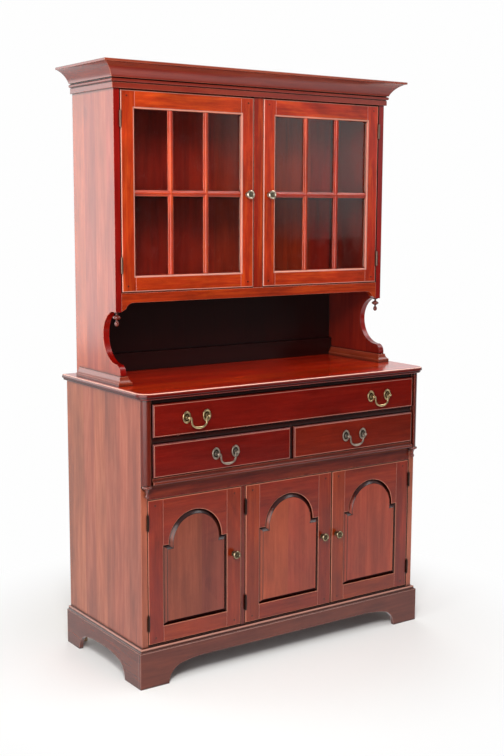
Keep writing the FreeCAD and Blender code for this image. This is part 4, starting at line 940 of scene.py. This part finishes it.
@dataclass
class GlazingBars:
    """One bar across and two upright, each a rounded bead over a sloped base."""

    door: FramedDoor
    columns: int = 3
    wide: float = 19.0
    bead: float = 9.0
    bead_deep: float = 4.0
    set_back: float = 2.0
    shoulder: Pair = (0.8, 0.4)
    slope: float = 2.4

    def section(self, rear: float) -> np.ndarray:
        """The section of a bar: a bead, a small shoulder and a sloped base.

        Args:
            rear: depth of the bar's back behind the door's face
        Returns:
            pairs of an offset from the bar's middle and a depth from the door's face
        """
        bead, foot = self.bead / 2, self.wide / 2
        deep = self.set_back + self.bead_deep
        crown = arc((0, 0), 1, 180, 0, 12) * (bead, -self.bead_deep) + (0, deep)
        shoulder = (bead + self.shoulder[0], deep + self.shoulder[1])
        side = np.array([shoulder, (foot, deep + self.slope), (foot, rear)])
        return np.vstack([crown, side, side[::-1] * (-1, 1)])

    def build(self) -> None:
        """Carry the section along each bar."""
        name, face = self.door.name, self.door.face
        low, high = box_mm(f"{name}_muntins")
        section = self.section(high[1] - face) + (0, face)
        pitch = (high[0] - low[0]) / self.columns
        across = section[:, ::-1] + (0, (low[2] + high[2]) / 2)
        bars = {"bar_across": (prism(across, 0, (low[0], high[0])), Grain.ACROSS)}
        for number in range(1, self.columns):
            outline = section + (low[0] + pitch * number, 0)
            bars[f"bar_upright_{number}"] = (prism(outline, 2, (low[2], high[2])),
                                             Grain.UPRIGHT)
        for bar, (surface, grain) in bars.items():
            finish_piece(f"{name}_{bar}", surface, BAR_CHERRY.build(grain), name,
                         nodes=(f"{name}_muntins",))


@dataclass
class Knob:
    """A turned knob: flange, neck, full head and a dished face with a rolled rim."""

    door: str
    finish: Metal

    def build(self) -> None:
        """Turn the profile about the knob's axis; the dish and the neck hold the patina."""
        low, high = box_mm(f"{self.door}_knob")
        middle = (low + high) / 2
        line = eased([(0, 0.55), (0.06, 0.56), (0.09, 0.46), (0.13, 0.33), (0.30, 0.30),
                      (0.42, 0.38), (0.52, 0.68), (0.64, 0.92), (0.78, 1.0), (0.90, 0.95),
                      (0.97, 0.86), (1.0, 0.76), (0.975, 0.67), (0.90, 0.56), (0.87, 0.40),
                      (0.885, 0.22), (0.90, 0.10), (0.90, 0.0)])
        age = np.interp(np.linspace(0, 1, len(line)),
                        [0, 0.12, 0.25, 0.42, 0.62, 0.72, 0.80, 0.90, 1],
                        [0.4, 0.7, 0.6, 0.2, 0.0, 0.35, 0.75, 0.55, 0.45])
        surface = turned(line * (high[1] - low[1], (high[0] - low[0]) / 2),
                         (middle[0], high[1], middle[2]), Way.FORWARD, patina=age)
        finish_piece(f"{self.door}_turned_knob", surface, self.finish.build(), self.door,
                     (f"{self.door}_knob",), crease=50)


# ---- drawers --------------------------------------------------------------------------

@dataclass
class Pull:
    """Two oval rosettes with their posts, and the bail that swings between them.

    The bail's axis lies before the drawer's face by eye. Its bar has the radius bar, which
    gains grip at the middle and loses tip at the ends.
    """

    drawer: str
    bail: str
    slot: str
    finish: Metal
    boring: float = 76.2
    rosette: Pair = (15.0, 20.0)
    post_long: float = 21.0
    eye: float = 16.0
    bar: float = 2.9
    grip: float = 1.6
    tip: float = 1.3

    def __post_init__(self) -> None:
        """Find the pull by its bail's joint."""
        joint = next(j for j in frame["joints"] if j["child"] == self.bail)
        self.axis = np.array(joint["pos_m"]) / MM

    def mount(self) -> Surface:
        """Both rosettes and posts.

        A rosette's height goes with the share of its radius: up over a rolled rim, down
        into a dished hollow and up again to the foot of the post.

        Returns:
            the fixed part of the pull
        """
        rim = eased([(0.0, 1.0), (1.5, 1.0), (2.6, 0.95), (3.0, 0.87), (2.6, 0.79),
                     (1.5, 0.72), (1.1, 0.60), (1.3, 0.45), (1.9, 0.34), (2.4, 0.26)])
        age = np.interp(rim[:, 1], [0.26, 0.45, 0.62, 0.74, 0.9, 1.0],
                        [0.3, 0.9, 0.8, 0.1, 0.0, 0.25])
        post = eased([(1.8, 5.4), (3.0, 4.6), (5.0, 3.4), (9.0, 3.2), (12.0, 3.9),
                      (15.5, 5.0), (18.6, 4.4), (20.4, 2.6), (self.post_long, 0.0)])
        wear_and_painted_highlight = np.interp(post[:, 0], [1.8, 6, 11, 15, 21], [0.7, 0.5, 0.3, 0.05, 0.0])
        parts = []
        for offset in (-self.boring / 2, self.boring / 2):
            foot = self.axis + (offset, self.eye, 0)
            parts.append(turned(rim, foot, Way.FORWARD, 48, self.rosette, age))
            parts.append(turned(post, foot, Way.FORWARD, 28, patina=wear_and_painted_highlight))
        return merged(parts)

    def swing(self) -> Surface:
        """A round bar bent in one plane, thick at the middle of the grip.

        The ring at a point P of the path is P + r (cos t N + sin t Y), where N lies in the
        plane across the path.

        Returns:
            the bail as it hangs at rest
        """
        line = eased([(36.6, 0.0), (33.2, -0.3), (30.2, -2.4), (28.8, -6.5), (28.6, -12.0),
                      (28.2, -17.5), (26.4, -23.0), (22.8, -27.8), (17.4, -31.4),
                      (9.6, -34.0), (0.0, -35.0)], 5)
        path = np.vstack([line * (-1, 1), line[-2::-1]])
        ahead = np.gradient(path, axis=0)
        ahead /= np.linalg.norm(ahead, axis=1)[:, None]
        middle = np.clip(1 - np.abs(path[:, 0]) / 22, 0, 1)
        low = np.clip((-30 - path[:, 1]) / 4, 0, 1)
        tip = np.clip((np.abs(path[:, 0]) - 33) / 3.6, 0, 1) * (path[:, 1] > -3)
        radius = (self.bar + self.grip * middle ** 0.8 * low - self.tip * tip)[:, None]
        turn = np.linspace(0, 2 * np.pi, 20, endpoint=False)
        ring = radius * np.cos(turn)
        grid = np.stack([path[:, :1] - ahead[:, 1:] * ring, radius * np.sin(turn),
                         path[:, 1:] + ahead[:, :1] * ring], axis=-1)
        age = np.interp(path[:, 1], [-35, -31, -20, -8, 0], [0.0, 0.1, 0.3, 0.45, 0.35])
        return lattice(self.axis + grid, patina=age)

    def build(self) -> None:
        """Make the fixed part on the drawer and the bail on its own body."""
        brass = self.finish.build()
        finish_piece(f"{self.bail}_mount", self.mount(), brass, self.drawer,
                     (f"{self.drawer}_pulls",), crease=50)
        finish_piece(f"{self.bail}_grip", self.swing(), brass, self.bail,
                     (self.bail,), crease=50)


@dataclass
class Drawer:
    """A drawer front with a moulded edge; its box keeps its solids.

    The edge is as wide and as deep as edge says, behind a small fillet.
    """

    name: str
    bails: tuple[str, ...]
    finish: Metal
    slot: str
    edge: Pair = (4.0, 3.4)
    fillet: float = 0.8
    swell: float = 0.45
    margin: float = 0.8

    def front(self) -> Surface:
        """The front: a fillet and a swelling slope carried round its face.

        Across the slope, t from 0 to 1, the face rises by t and swells by sin(pi t).

        Returns:
            the front, closed behind
        """
        low, high = box_mm(f"{self.name}_front")
        wide, deep = self.edge
        fillet = self.fillet
        share = np.linspace(0, 1, 7)
        swell = self.swell * np.sin(np.pi * share)
        stations = [(0.0, high[1] - low[1]), (0.0, deep + fillet),
                    (fillet * 0.5, deep + fillet * 0.3),
                    *zip(fillet + wide * share - swell, deep * (1 - share) - swell * 0.8),
                    (fillet + wide + self.margin, 0.0)]
        # painted shade outside the crest, and a pale crest, partly rubbed-through stain and
        # partly painted highlight
        age = np.array([0, 0.3, 0.3, 0.3, 0.3, 0.3, 0.2, 0.0, -0.35, -0.45, 0])
        return lattice(Opening.around(low, high).carried(stations, low[1]), patina=age)

    def build(self) -> None:
        """Make the front, the pulls and their bails."""
        finish_piece(f"{self.name}_moulded_front", self.front(),
                     DEEP_CHERRY.build(Grain.ACROSS), self.name,
                     nodes=(f"{self.name}_front",), crease=35)
        finish_node(f"{self.name}_box", INNER_WOOD.build(Grain.ACROSS_FLAT))
        for bail in self.bails:
            Pull(self.name, bail, self.slot, self.finish).build()


# ---- the two cases --------------------------------------------------------------------

@dataclass
class Moulding:
    """A moulding mitred round the front and both sides of a case.

    A profile point at projection p and height z lies at (W + p, F - p, z) at a corner,
    where W is half the case's width and F its face.
    """

    name: str
    nodes: tuple[str, ...]
    half: float
    face: float
    back: float
    profile: np.ndarray
    wood: Wood
    patina: Optional[np.ndarray] = None

    def build(self) -> None:
        """Make the front member and the two returns, each closed at its mitres."""
        projection, height = self.profile.T
        wide = self.half + projection
        stations = np.stack([
            np.column_stack([wide * side, place, height])
            for side, place in ((-1, np.full(len(wide), self.back)),
                                (-1, self.face - projection), (1, self.face - projection),
                                (1, np.full(len(wide), self.back)))])
        aged_and_painted_light = None if self.patina is None else np.stack([self.patina] * 2)
        for start, (member, grain) in enumerate((
                ("left", Grain.DEEP), ("front", Grain.ACROSS), ("right", Grain.DEEP))):
            surface = lattice(stations[start:start + 2], patina=aged_and_painted_light)
            finish_piece(f"{self.name}_{member}", surface, self.wood.build(grain),
                         nodes=self.nodes, crease=30)


@dataclass
class TurnedDrops:
    """Turned pendants under the upper sides and carved drops under the corner posts.

    The pendants stand behind the apron's front. The carved drops' place is measured in from
    a post's outer face and back from its front.
    """

    pendant_back: float = 14.5
    carved_place: Pair = (16.0, 12.0)
    carved_deep: float = 24.0

    def pendants(self) -> list[Surface]:
        """Collar, neck, full vase, neck, bud and a pointed end.

        Returns:
            one under each upper side
        """
        _, top = box_mm("turned_drops")
        low, high = box_mm("upper_side_right")
        apron, _ = box_mm("upper_face_frame")
        profile = eased([(0.0, 9.0), (1.6, 9.4), (3.0, 8.6), (4.4, 4.6), (7.4, 3.5),
                         (10.6, 5.4), (13.4, 10.6), (17.6, 13.0), (21.8, 10.8), (25.0, 5.4),
                         (27.6, 3.3), (30.0, 3.5), (33.2, 5.8), (38.4, 7.5), (43.6, 6.2),
                         (47.0, 3.2), (48.0, 0.0)])
        x, y = (low[0] + high[0]) / 2, apron[1] + self.pendant_back
        return [turned(profile, (x * side, y, top[2]), Way.DOWN, 32) for side in (-1, 1)]

    def carved(self) -> list[Surface]:
        """Cap, hollow taper and ball, flat behind.

        Returns:
            one under each corner post
        """
        low, high = box_mm("corner_posts")
        profile = eased([(0.0, 14.4), (2.2, 16.2), (5.0, 16.5), (7.6, 14.6), (8.6, 12.4),
                         (12.0, 8.4), (16.0, 5.8), (21.0, 4.3), (26.0, 4.0), (28.5, 4.6),
                         (32.0, 6.2), (35.6, 6.3), (39.6, 4.4), (42.0, 0.0)])
        x, y = high[0] - self.carved_place[0], low[1] + self.carved_place[1]
        parts = [turned(profile, (x * side, y, low[2]), Way.DOWN, 32) for side in (-1, 1)]
        for part in parts:
            rear = (low[1] + self.carved_deep) * MM
            part.points[:, 1] = np.minimum(part.points[:, 1], rear)
        return parts

    def build(self) -> None:
        """Make all four."""
        finish_piece("turned_drops_smooth", merged(self.pendants() + self.carved()),
                     TURNED_CHERRY.build(Grain.UPRIGHT), nodes=("turned_drops",), crease=50)


@dataclass
class UpperCase:
    """Glazed case: boards with their solids, a crown moulding and glass doors.

    The cove's foot is measured out from the sides and up from the cornice's foot, and its
    head in and down from the cornice's upper edge.
    """

    doors: tuple[str, ...] = ("glass_door_left", "glass_door_right")
    cove_foot: Pair = (13.0, 30.0)
    cove_head: Pair = (5.0, 8.0)
    cove_radius: float = 75.0
    stile_foot: float = 1268.5

    def crown(self) -> None:
        """The cornice from the bottom up: band, quirk, bead, quirk, cove, step and fillet.

        The band hides the gap over the doors. The cove is an arc through its two ends,
        hollow towards the front: its centre lies off their middle by sqrt(R^2 - h^2)
        across the chord, where h is half the chord.
        """
        low, high = box_mm("cornice")
        _, side = box_mm("upper_side_right")
        apron, _ = box_mm("upper_face_frame")
        wide, top = high[0] - side[0], high[2] - low[2]
        start = np.array(self.cove_foot)
        end = np.array((wide, top)) - self.cove_head
        band = [(0.0, -4.8), (6.6, -4.8), (7.5, -3.9), (7.5, 12.4), (5.4, 13.0), (5.4, 14.8)]
        bead = arc((7.6, 20.2), 5.4, -90, 90, 12)
        neck = [(6.4, 25.6), (6.4, 27.6), (9.0, 28.0), (13.0, 28.4)]
        chord = end - start
        span = np.linalg.norm(chord)
        normal = np.array((chord[1], -chord[0])) / span
        centre = (start + end) / 2 + normal * math.sqrt(self.cove_radius ** 2
                                                        - (span / 2) ** 2)
        first, last = (math.degrees(math.atan2(*(point - centre)[::-1]))
                       for point in (start, end))
        turn = (last - first + 180) % 360 - 180
        cove = arc(centre, self.cove_radius, first, first + turn, 16)
        head = [end, (wide - 1.2, end[1]), (wide, end[1] + 1.5), (wide, top - 1.5),
                (wide - 1.5, top), (0, top)]
        profile = np.vstack([band, bead, neck, cove, head]) + (0, low[2])
        Moulding("cornice", ("cornice",), side[0], apron[1], side[1], profile,
                 CASE_CHERRY).build()

    def build(self) -> None:
        """Dress the case and hang its doors."""
        for hand in ("left", "right"):
            finish_node(f"upper_side_{hand}", SIDE_CHERRY.build(Grain.UPRIGHT_SIDE))
        finish_node("upper_face_frame",
                    APRON_CHERRY.build(Grain.ACROSS, Grain.UPRIGHT, self.stile_foot))
        finish_node("upper_back_boards", BACK_CHERRY.build(Grain.UPRIGHT))
        finish_node("niche_back_rail", BACK_CHERRY.build(Grain.ACROSS))
        for node in ("upper_bottom_board", "upper_top_board", "upper_shelf"):
            finish_node(node, DEEP_CHERRY.build(Grain.ACROSS_FLAT))
        finish_node("shoe_mouldings", CASE_CHERRY.build(Grain.DEEP))
        finish_node("upper_case_hinges", HINGE_BRASS.build())
        self.crown()
        for name in self.doors:
            door = FramedDoor(name, DOOR_CHERRY, stile=46, bottom_rail=47.5, top_rail=53.5,
                              moulding=6, rabbet_lap=0, rabbet_plane=13, ease=5.0)
            door.build()
            GlazingBars(door).build()
            Knob(name, KNOB_BRASS).build()
            finish_node(f"{name}_panes", SHEET_GLASS.build())
            finish_node(f"{name}_hinges", HINGE_BRASS.build())


@dataclass
class LowerCase:
    """Case of drawers and doors: sides, top board, corner posts, rails and base.

    The doors have round heads of radius arch under a rail of arch_drop. Rails, partition
    and grooves lie rail_recess behind the fronts, and drawer_gap away from the drawers.
    """

    doors: tuple[str, ...] = ("lower_door_left", "lower_door_middle", "lower_door_right")
    arch: float = 104.0
    arch_drop: float = 50.0
    corner: float = 43.0
    drawer_gap: float = 1.2
    rail_recess: float = 10.0
    rail_deep: float = 28.0
    bead: float = 6.0
    bead_step: float = 1.2
    post_radius: float = 23.0
    groove: float = 7.5
    guide_long: float = 480.0
    runner: float = 40.0
    frieze_foot: float = 630.0

    def top_board(self) -> None:
        """The top board: nosing and bead carried round a plan with rounded front corners.

        The plan set in by q has its front corners rounded to R - q about the same centres.
        """
        low, high = box_mm("top_board")
        thick = high[2] - low[2]
        bead = eased([(9.5, 0.0), (7.0, 0.5), (5.3, 2.4), (5.0, 5.0), (5.0, 8.0)])
        nose = eased([(0.6, 8.6), (0.0, 10.4), (0.0, 14.6), (1.2, 18.2), (3.6, 20.4),
                      (7.0, thick)])
        section = np.vstack([bead, [(4.6, 8.5)], nose, [(9.0, thick)]])
        # painted shade in the quirk over the bead, a painted highlight on the upper arris, none
        # further in
        age = np.interp(section[:, 1], [0, 7.5, 8.5, 10, 15, 17.5, 19, 20.9],
                        [0.3, 0.3, 0.9, 0.2, 0.0, -0.5, -0.9, -0.9])
        age[-1] = 0.0
        rows = []
        for inset, height in section:
            right, bend = high[0] - inset, self.corner - inset
            front = arc((right - bend, low[1] + inset + bend), bend, 0, -90, 12)
            plan = np.vstack([[(right, high[1])], front, front[::-1] * (-1, 1),
                              [(-right, high[1])]])
            rows.append(np.insert(plan, 2, low[2] + height, axis=1))
        finish_piece("top_board_moulded", lattice(np.stack(rows), patina=age),
                     TOP_CHERRY.build(Grain.ACROSS_FLAT), nodes=("top_board",), crease=40)

    def base_moulding(self) -> None:
        """The moulded top of the base: arris, hollow, fillet and a rounded nose."""
        low, high = box_mm("bracket_base")
        profile = np.vstack([[(-10.6, -14.4), (-0.2, -14.4), (0.6, -13.6), (0.6, -12.6)],
                             arc((0.6, -6.4), 6.2, -90, -180), [(-5.6, -5.8)],
                             arc((-8.2, -2.9), 2.9, -60, 90), [(-10.6, 0.0)]])
        # painted shade in the hollow, a painted highlight on the arris and the nose
        age = np.concatenate([[0, 0.3, -0.35, -0.3], np.linspace(0.1, 0.7, 9), [0.5],
                              np.full(9, -0.45), [-0.2]])
        Moulding("base_moulding", (), high[0], low[1], high[1], profile + (0, high[2]),
                 BASE_CHERRY, age).build()

    def rails(self) -> None:
        """Rails over and between the drawers, set back, and the beaded rail below them."""
        low, high = box_mm("drawer_rails")
        long_low, long_high = box_mm("long_drawer_front")
        small_low, small_high = box_mm("small_drawer_left_front")
        face, gap, rear = long_low[1] + self.rail_recess, self.drawer_gap, high[1]
        for name, foot, head in (("upper", long_high[2] + gap, high[2]),
                                 ("middle", small_high[2] + gap, long_low[2] - gap)):
            rail = board((low[0], face, foot), (high[0], rear, head))
            finish_piece(f"drawer_rail_{name}", rail, PAINTED_SHADE_RAIL_CHERRY.build(Grain.ACROSS),
                         nodes=("drawer_rails",))
        # half round bead in front of a flat rail
        front, centre = low[1] + self.bead, low[2] + self.bead
        crown, step = centre + self.bead, front + self.bead_step
        head, back = small_low[2] - gap, rear - self.rail_deep
        nose = arc((front, centre), self.bead, -90, -270, 14)
        section = np.vstack([[(back, low[2]), (front, low[2])], nose[1:-1],
                             [(front, crown), (step, crown), (step, head), (back, head)]])
        finish_piece("drawer_rail_beaded", prism(section, 0, (low[0], high[0])),
                     FRIEZE_CHERRY.build(Grain.ACROSS), nodes=("drawer_rails",))

    def posts(self) -> None:
        """Corner posts: a quarter round, and a groove between it and the drawers."""
        low, high = box_mm("corner_posts")
        inside, _ = box_mm("drawer_rails")
        front, rear, outer, inner = low[1], high[1], high[0], -inside[0]
        bend, step, floor = self.post_radius, inner + self.groove, front + self.rail_recess
        curve = arc((outer - bend, front + bend), bend, 0, -90, 12)
        plan = np.vstack([[(outer, rear)], curve, [
            (step + 1.5, front), (step + 0.4, front + 0.4), (step, front + 1.5),
            (step, floor), (inner, floor), (inner, rear)]])
        for side, name in ((-1, "left"), (1, "right")):
            finish_piece(f"corner_post_{name}", prism(plan * (side, 1), 2, (low[2], high[2])),
                         POST_CHERRY.build(Grain.UPRIGHT), nodes=("corner_posts",))

    def guides(self) -> None:
        """Dust board, partition between the small drawers and the long drawer's runners."""
        low, high = box_mm("drawer_guides")
        left, right = box_mm("small_drawer_left_front"), box_mm("small_drawer_right_front")
        gap, back, wide = self.drawer_gap, high[1], high[0]
        start = back - self.guide_long
        foot, head = left[0][2] - gap, left[1][2] + gap
        face = left[0][1] + self.rail_recess
        boards = (
            ("partition", PAINTED_SHADE_RAIL_CHERRY.build(Grain.DEEP),
             (left[1][0] + gap, face, foot), (right[0][0] - gap, back, head)),
            ("dust_board", INNER_WOOD.build(Grain.ACROSS_FLAT),
             (low[0], start, low[2]), (wide, back, foot)),
            ("runner_left", INNER_WOOD.build(Grain.DEEP_FLAT),
             (-wide, start, head), (self.runner - wide, back, high[2])),
            ("runner_right", INNER_WOOD.build(Grain.DEEP_FLAT),
             (wide - self.runner, start, head), (wide, back, high[2])))
        for name, wood, lowest, highest in boards:
            finish_piece(f"drawer_{name}", board(lowest, highest), wood,
                         nodes=("drawer_guides",))

    def build(self) -> None:
        """Dress the case, its base and its doors."""
        for hand in ("left", "right"):
            finish_node(f"lower_side_{hand}", LOWER_SIDE_CHERRY.build(Grain.UPRIGHT_SIDE))
        self.top_board()
        finish_node("lower_face_frame",
                    FRIEZE_CHERRY.build(Grain.UPRIGHT, Grain.ACROSS, self.frieze_foot))
        finish_node("lower_bottom_board", PAINTED_SHADE_RAIL_CHERRY.build(Grain.ACROSS_FLAT))
        finish_node("lower_shelf", INNER_WOOD.build(Grain.ACROSS_FLAT))
        finish_node("lower_back_boards", INNER_WOOD.build(Grain.UPRIGHT))
        finish_node("bracket_base", BASE_CHERRY.build(Grain.ACROSS, Grain.DEEP))
        finish_node("base_blocks", INNER_WOOD.build(Grain.UPRIGHT))
        TurnedDrops().build()
        finish_node("lower_case_hinges", DARK_HINGE.build())
        self.base_moulding()
        self.rails()
        self.posts()
        self.guides()
        for name in self.doors:
            door = FramedDoor(name, LOWER_CHERRY, stile=55, bottom_rail=54,
                              top_rail=self.arch_drop, moulding=2.2, rabbet_lap=-4,
                              rabbet_plane=8.5, arch=self.arch)
            door.build()
            left = name == self.doors[0]
            RaisedPanel(door, DARK_PANEL_CHERRY if left else PANEL_CHERRY).build()
            Knob(name, OLIVE_BRASS).build()
            finish_node(f"{name}_hinges", DARK_HINGE.build())
        Drawer("long_drawer", ("long_drawer_bail_left", "long_drawer_bail_right"),
               BRIGHT_BRASS, "pull_brass").build()
        for hand in ("left", "right"):
            Drawer(f"small_drawer_{hand}", (f"small_drawer_{hand}_bail",), GREY_BRASS,
                   "pull_antique").build()


# ---- studio ---------------------------------------------------------------------------

@dataclass(frozen=True)
class Lamp:
    """A soft box or a tall window.

    Its place, the point it looks at and its width and height are in metres, and its power
    is in watts.
    """

    name: str
    place: Triple
    target: Triple
    size: Pair
    power: float
    mirrored: bool = False
    lights: bool = True

    def build(self) -> None:
        """Hang the lamp: mirrored if gloss shows it, and lights if it is more than that."""
        light = bpy.data.lights.new(self.name, "AREA")
        light.shape = "RECTANGLE"
        light.size, light.size_y = self.size
        light.energy = self.power
        lamp = bpy.data.objects.new(self.name, light)
        lamp.location = self.place
        aim = Vector(self.target) - Vector(self.place)
        lamp.rotation_euler = aim.to_track_quat("-Z", "Y").to_euler()
        lamp.visible_glossy = self.mirrored
        lamp.visible_diffuse = self.lights
        lamp.visible_camera = False
        bpy.context.scene.collection.objects.link(lamp)


@dataclass(frozen=True)
class Studio:
    """Pale floor, white backdrop, soft boxes and the camera.

    The room is white behind and beside the piece and dark behind the camera, which is what
    its glass and lacquer show. Lengths are in metres and angles in degrees. A pair is where
    a soft change starts and where it ends.
    """

    camera_place: Triple = (-2.3736, -3.42825, 1.5529)
    angles: Triple = (34.82, 8.33, 0.25)
    focal_pixels: float = 1180.5
    picture_high: int = 756
    sensor: float = 36.0
    backdrop: Pair = (-0.45, 0.25)
    dark_room: float = 0.02
    wall_edge: Pair = (0.60, 0.74)
    right_wall: float = 0.5
    wall_foot: Pair = (-0.06, 0.05)
    under_wall: float = 0.1
    roof_edge: Pair = (0.35, 0.8)
    ceiling: float = 0.45
    ambient: float = 0.20
    far_window: Triple = (0.655, -0.748, 0.105)
    far_window_angles: Pair = (10.0, 3.0)
    far_window_light: float = 0.85
    floor_half: float = 40.0
    floor_lit: Pair = (0.5, 1.25)
    floor_dark: Pair = (-3.4, -1.0)
    floor_mirrored: float = 0.9
    lamps: tuple[Lamp, ...] = (
        Lamp("key", (-1.9, -2.5, 2.8), (0.0, -0.2, 1.2), (0.9, 0.9), 100.0),
        Lamp("window_left", (-3.4, -0.9, 1.6), (-0.4, -0.1, 1.3), (0.8, 2.6), 42.0),
        Lamp("card_left", (-3.4, -1.7, 1.5), (-0.4, -0.1, 1.2), (4.2, 2.8), 120.0, True,
             False),
        Lamp("card_above", (2.2, -1.0, 4.1), (0.0, -0.2, 1.0), (2.2, 2.2), 45.0, True,
             False),
        Lamp("window_behind", (-2.5, 3.5, 1.7), (-0.6, 0.0, 1.3), (3.0, 2.2), 38.0, True),
        Lamp("skylight", (1.1, -1.5, 3.8), (0.0, -0.1, 1.2), (4.6, 1.6), 40.0),
        Lamp("low_window", (-2.8, -2.4, 0.9), (0.0, -0.2, 1.0), (1.2, 1.6), 20.0),
        Lamp("fill_right", (3.2, -1.0, 1.8), (0.4, 0.2, 1.0), (2.4, 2.4), 20.0),
        Lamp("fill_back", (1.8, 3.4, 2.6), (0.0, 0.2, 1.0), (2.4, 2.4), 50.0),
    )

    def camera(self) -> None:
        """Place the camera: yaw from +Y towards +X, pitch down, roll about its axis."""
        view = bpy.data.cameras.new("camera")
        view.sensor_width = self.sensor
        view.lens = self.focal_pixels * self.sensor / self.picture_high
        camera = bpy.data.objects.new("camera", view)
        yaw, pitch, roll = map(math.radians, self.angles)
        ahead = Vector((math.sin(yaw) * math.cos(pitch), math.cos(yaw) * math.cos(pitch),
                        -math.sin(pitch)))
        level = Vector((math.cos(yaw), -math.sin(yaw), 0.0))
        upward = level.cross(ahead)
        right = level * math.cos(roll) + upward * math.sin(roll)
        top = upward * math.cos(roll) - level * math.sin(roll)
        turn = Matrix((right, top, -ahead)).transposed()
        camera.matrix_world = Matrix.Translation(self.camera_place) @ turn.to_4x4()
        bpy.context.scene.collection.objects.link(camera)
        bpy.context.scene.camera = camera

    def floor(self) -> None:
        """A pale floor: lit and shaded near the cupboard, plain white further away."""
        mesh = bpy.data.meshes.new("floor")
        corners = [(-1, -1, 0), (1, -1, 0), (1, 1, 0), (-1, 1, 0)]
        mesh.from_pydata(np.multiply(corners, self.floor_half).tolist(), [], [(0, 1, 2, 3)])
        material, add = new_material("painted_floor")
        path = add("LightPath").outputs
        place = add("TexCoord").outputs["Object"]
        away = add("VectorMath", {"operation": "LENGTH", 0: place}).outputs["Value"]
        front = add("SeparateXYZ", {0: place}).outputs["Y"]
        far, mirrored = (add("MapRange", {**SMOOTH, **dict(zip(RANGE, row))}) for row in (
            (away, *self.floor_lit, 0, 1), (front, *self.floor_dark, self.dark_room,
                                                self.floor_mirrored)))
        plain = add("Math", {"operation": "MULTIPLY", 0: path["Is Camera Ray"], 1: far})
        mirror = add("Math", {"operation": "MAXIMUM", 0: path["Is Glossy Ray"],
                              1: path["Is Transmission Ray"]})
        lit = add("BsdfDiffuse", {"Color": linear("#F4F3F1")})
        glow = add("Emission", {"Color": linear(WHITE)})
        dim = add("Emission", {"Color": linear(WHITE), "Strength": mirrored})
        direct = add("MixShader", {0: plain, 1: lit, 2: glow})
        add("OutputMaterial", {0: add("MixShader", {0: mirror, 1: direct, 2: dim})})
        mesh.materials.append(material)
        floor = bpy.data.objects.new("floor", mesh)
        bpy.context.scene.collection.objects.link(floor)

    def surround(self) -> None:
        """White to the eye, a plain soft light, and the room in gloss and through glass.

        In gloss the strength is 1 towards the backdrop and falls to the dark room in
        front, with the right wall, the ceiling and a far window where they are brighter.
        """
        world = bpy.data.worlds.new("surround")
        bpy.context.scene.world = world
        world.use_nodes = True
        world.node_tree.nodes.clear()
        add = partial(add_node, world.node_tree)
        path = add("LightPath").outputs
        toward = add("TexCoord").outputs["Generated"]
        axes = add("SeparateXYZ", {0: toward}).outputs
        spot = add("VectorMath", {"operation": "DOT_PRODUCT", 0: toward,
                                  1: Vector(self.far_window).normalized()})
        rim, core = (math.cos(math.radians(angle)) for angle in self.far_window_angles)
        room, wall, foot, roof, glare = (
            add("MapRange", {**SMOOTH, **dict(zip(RANGE, row))}) for row in (
                (axes["Y"], *self.backdrop, self.dark_room, 1),
                (axes["X"], *self.wall_edge, 0, self.right_wall),
                (axes["Z"], *self.wall_foot, self.under_wall, 1),
                (axes["Z"], *self.roof_edge, 0, self.ceiling),
                (spot.outputs["Value"], rim, core, 0, self.far_window_light)))
        strength = add("Math", {"operation": "MULTIPLY", 0: wall, 1: foot})
        for other in (room, roof, glare):
            strength = add("Math", {"operation": "MAXIMUM", 0: strength, 1: other})
        mirror = add("Math", {"operation": "MAXIMUM", 0: path["Is Glossy Ray"],
                              1: path["Is Transmission Ray"]})
        soft, seen, gloss = (add("Background", {"Color": linear(WHITE), "Strength": power})
                             for power in (self.ambient, 1.0, strength))
        direct = add("MixShader", {0: path["Is Camera Ray"], 1: soft, 2: seen})
        add("OutputWorld", {0: add("MixShader", {0: mirror, 1: direct, 2: gloss})})

    def build(self) -> None:
        """Set up the studio."""
        self.camera()
        self.floor()
        self.surround()
        for lamp in self.lamps:
            lamp.build()
        bpy.context.scene.view_settings.view_transform = "Standard"


def main() -> None:
    """Dress the cupboard and set up the studio."""
    logging.basicConfig(level=logging.INFO, format="%(message)s")
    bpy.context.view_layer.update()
    UpperCase().build()
    LowerCase().build()
    Studio().build()


if __name__ == "__main__":
    main()
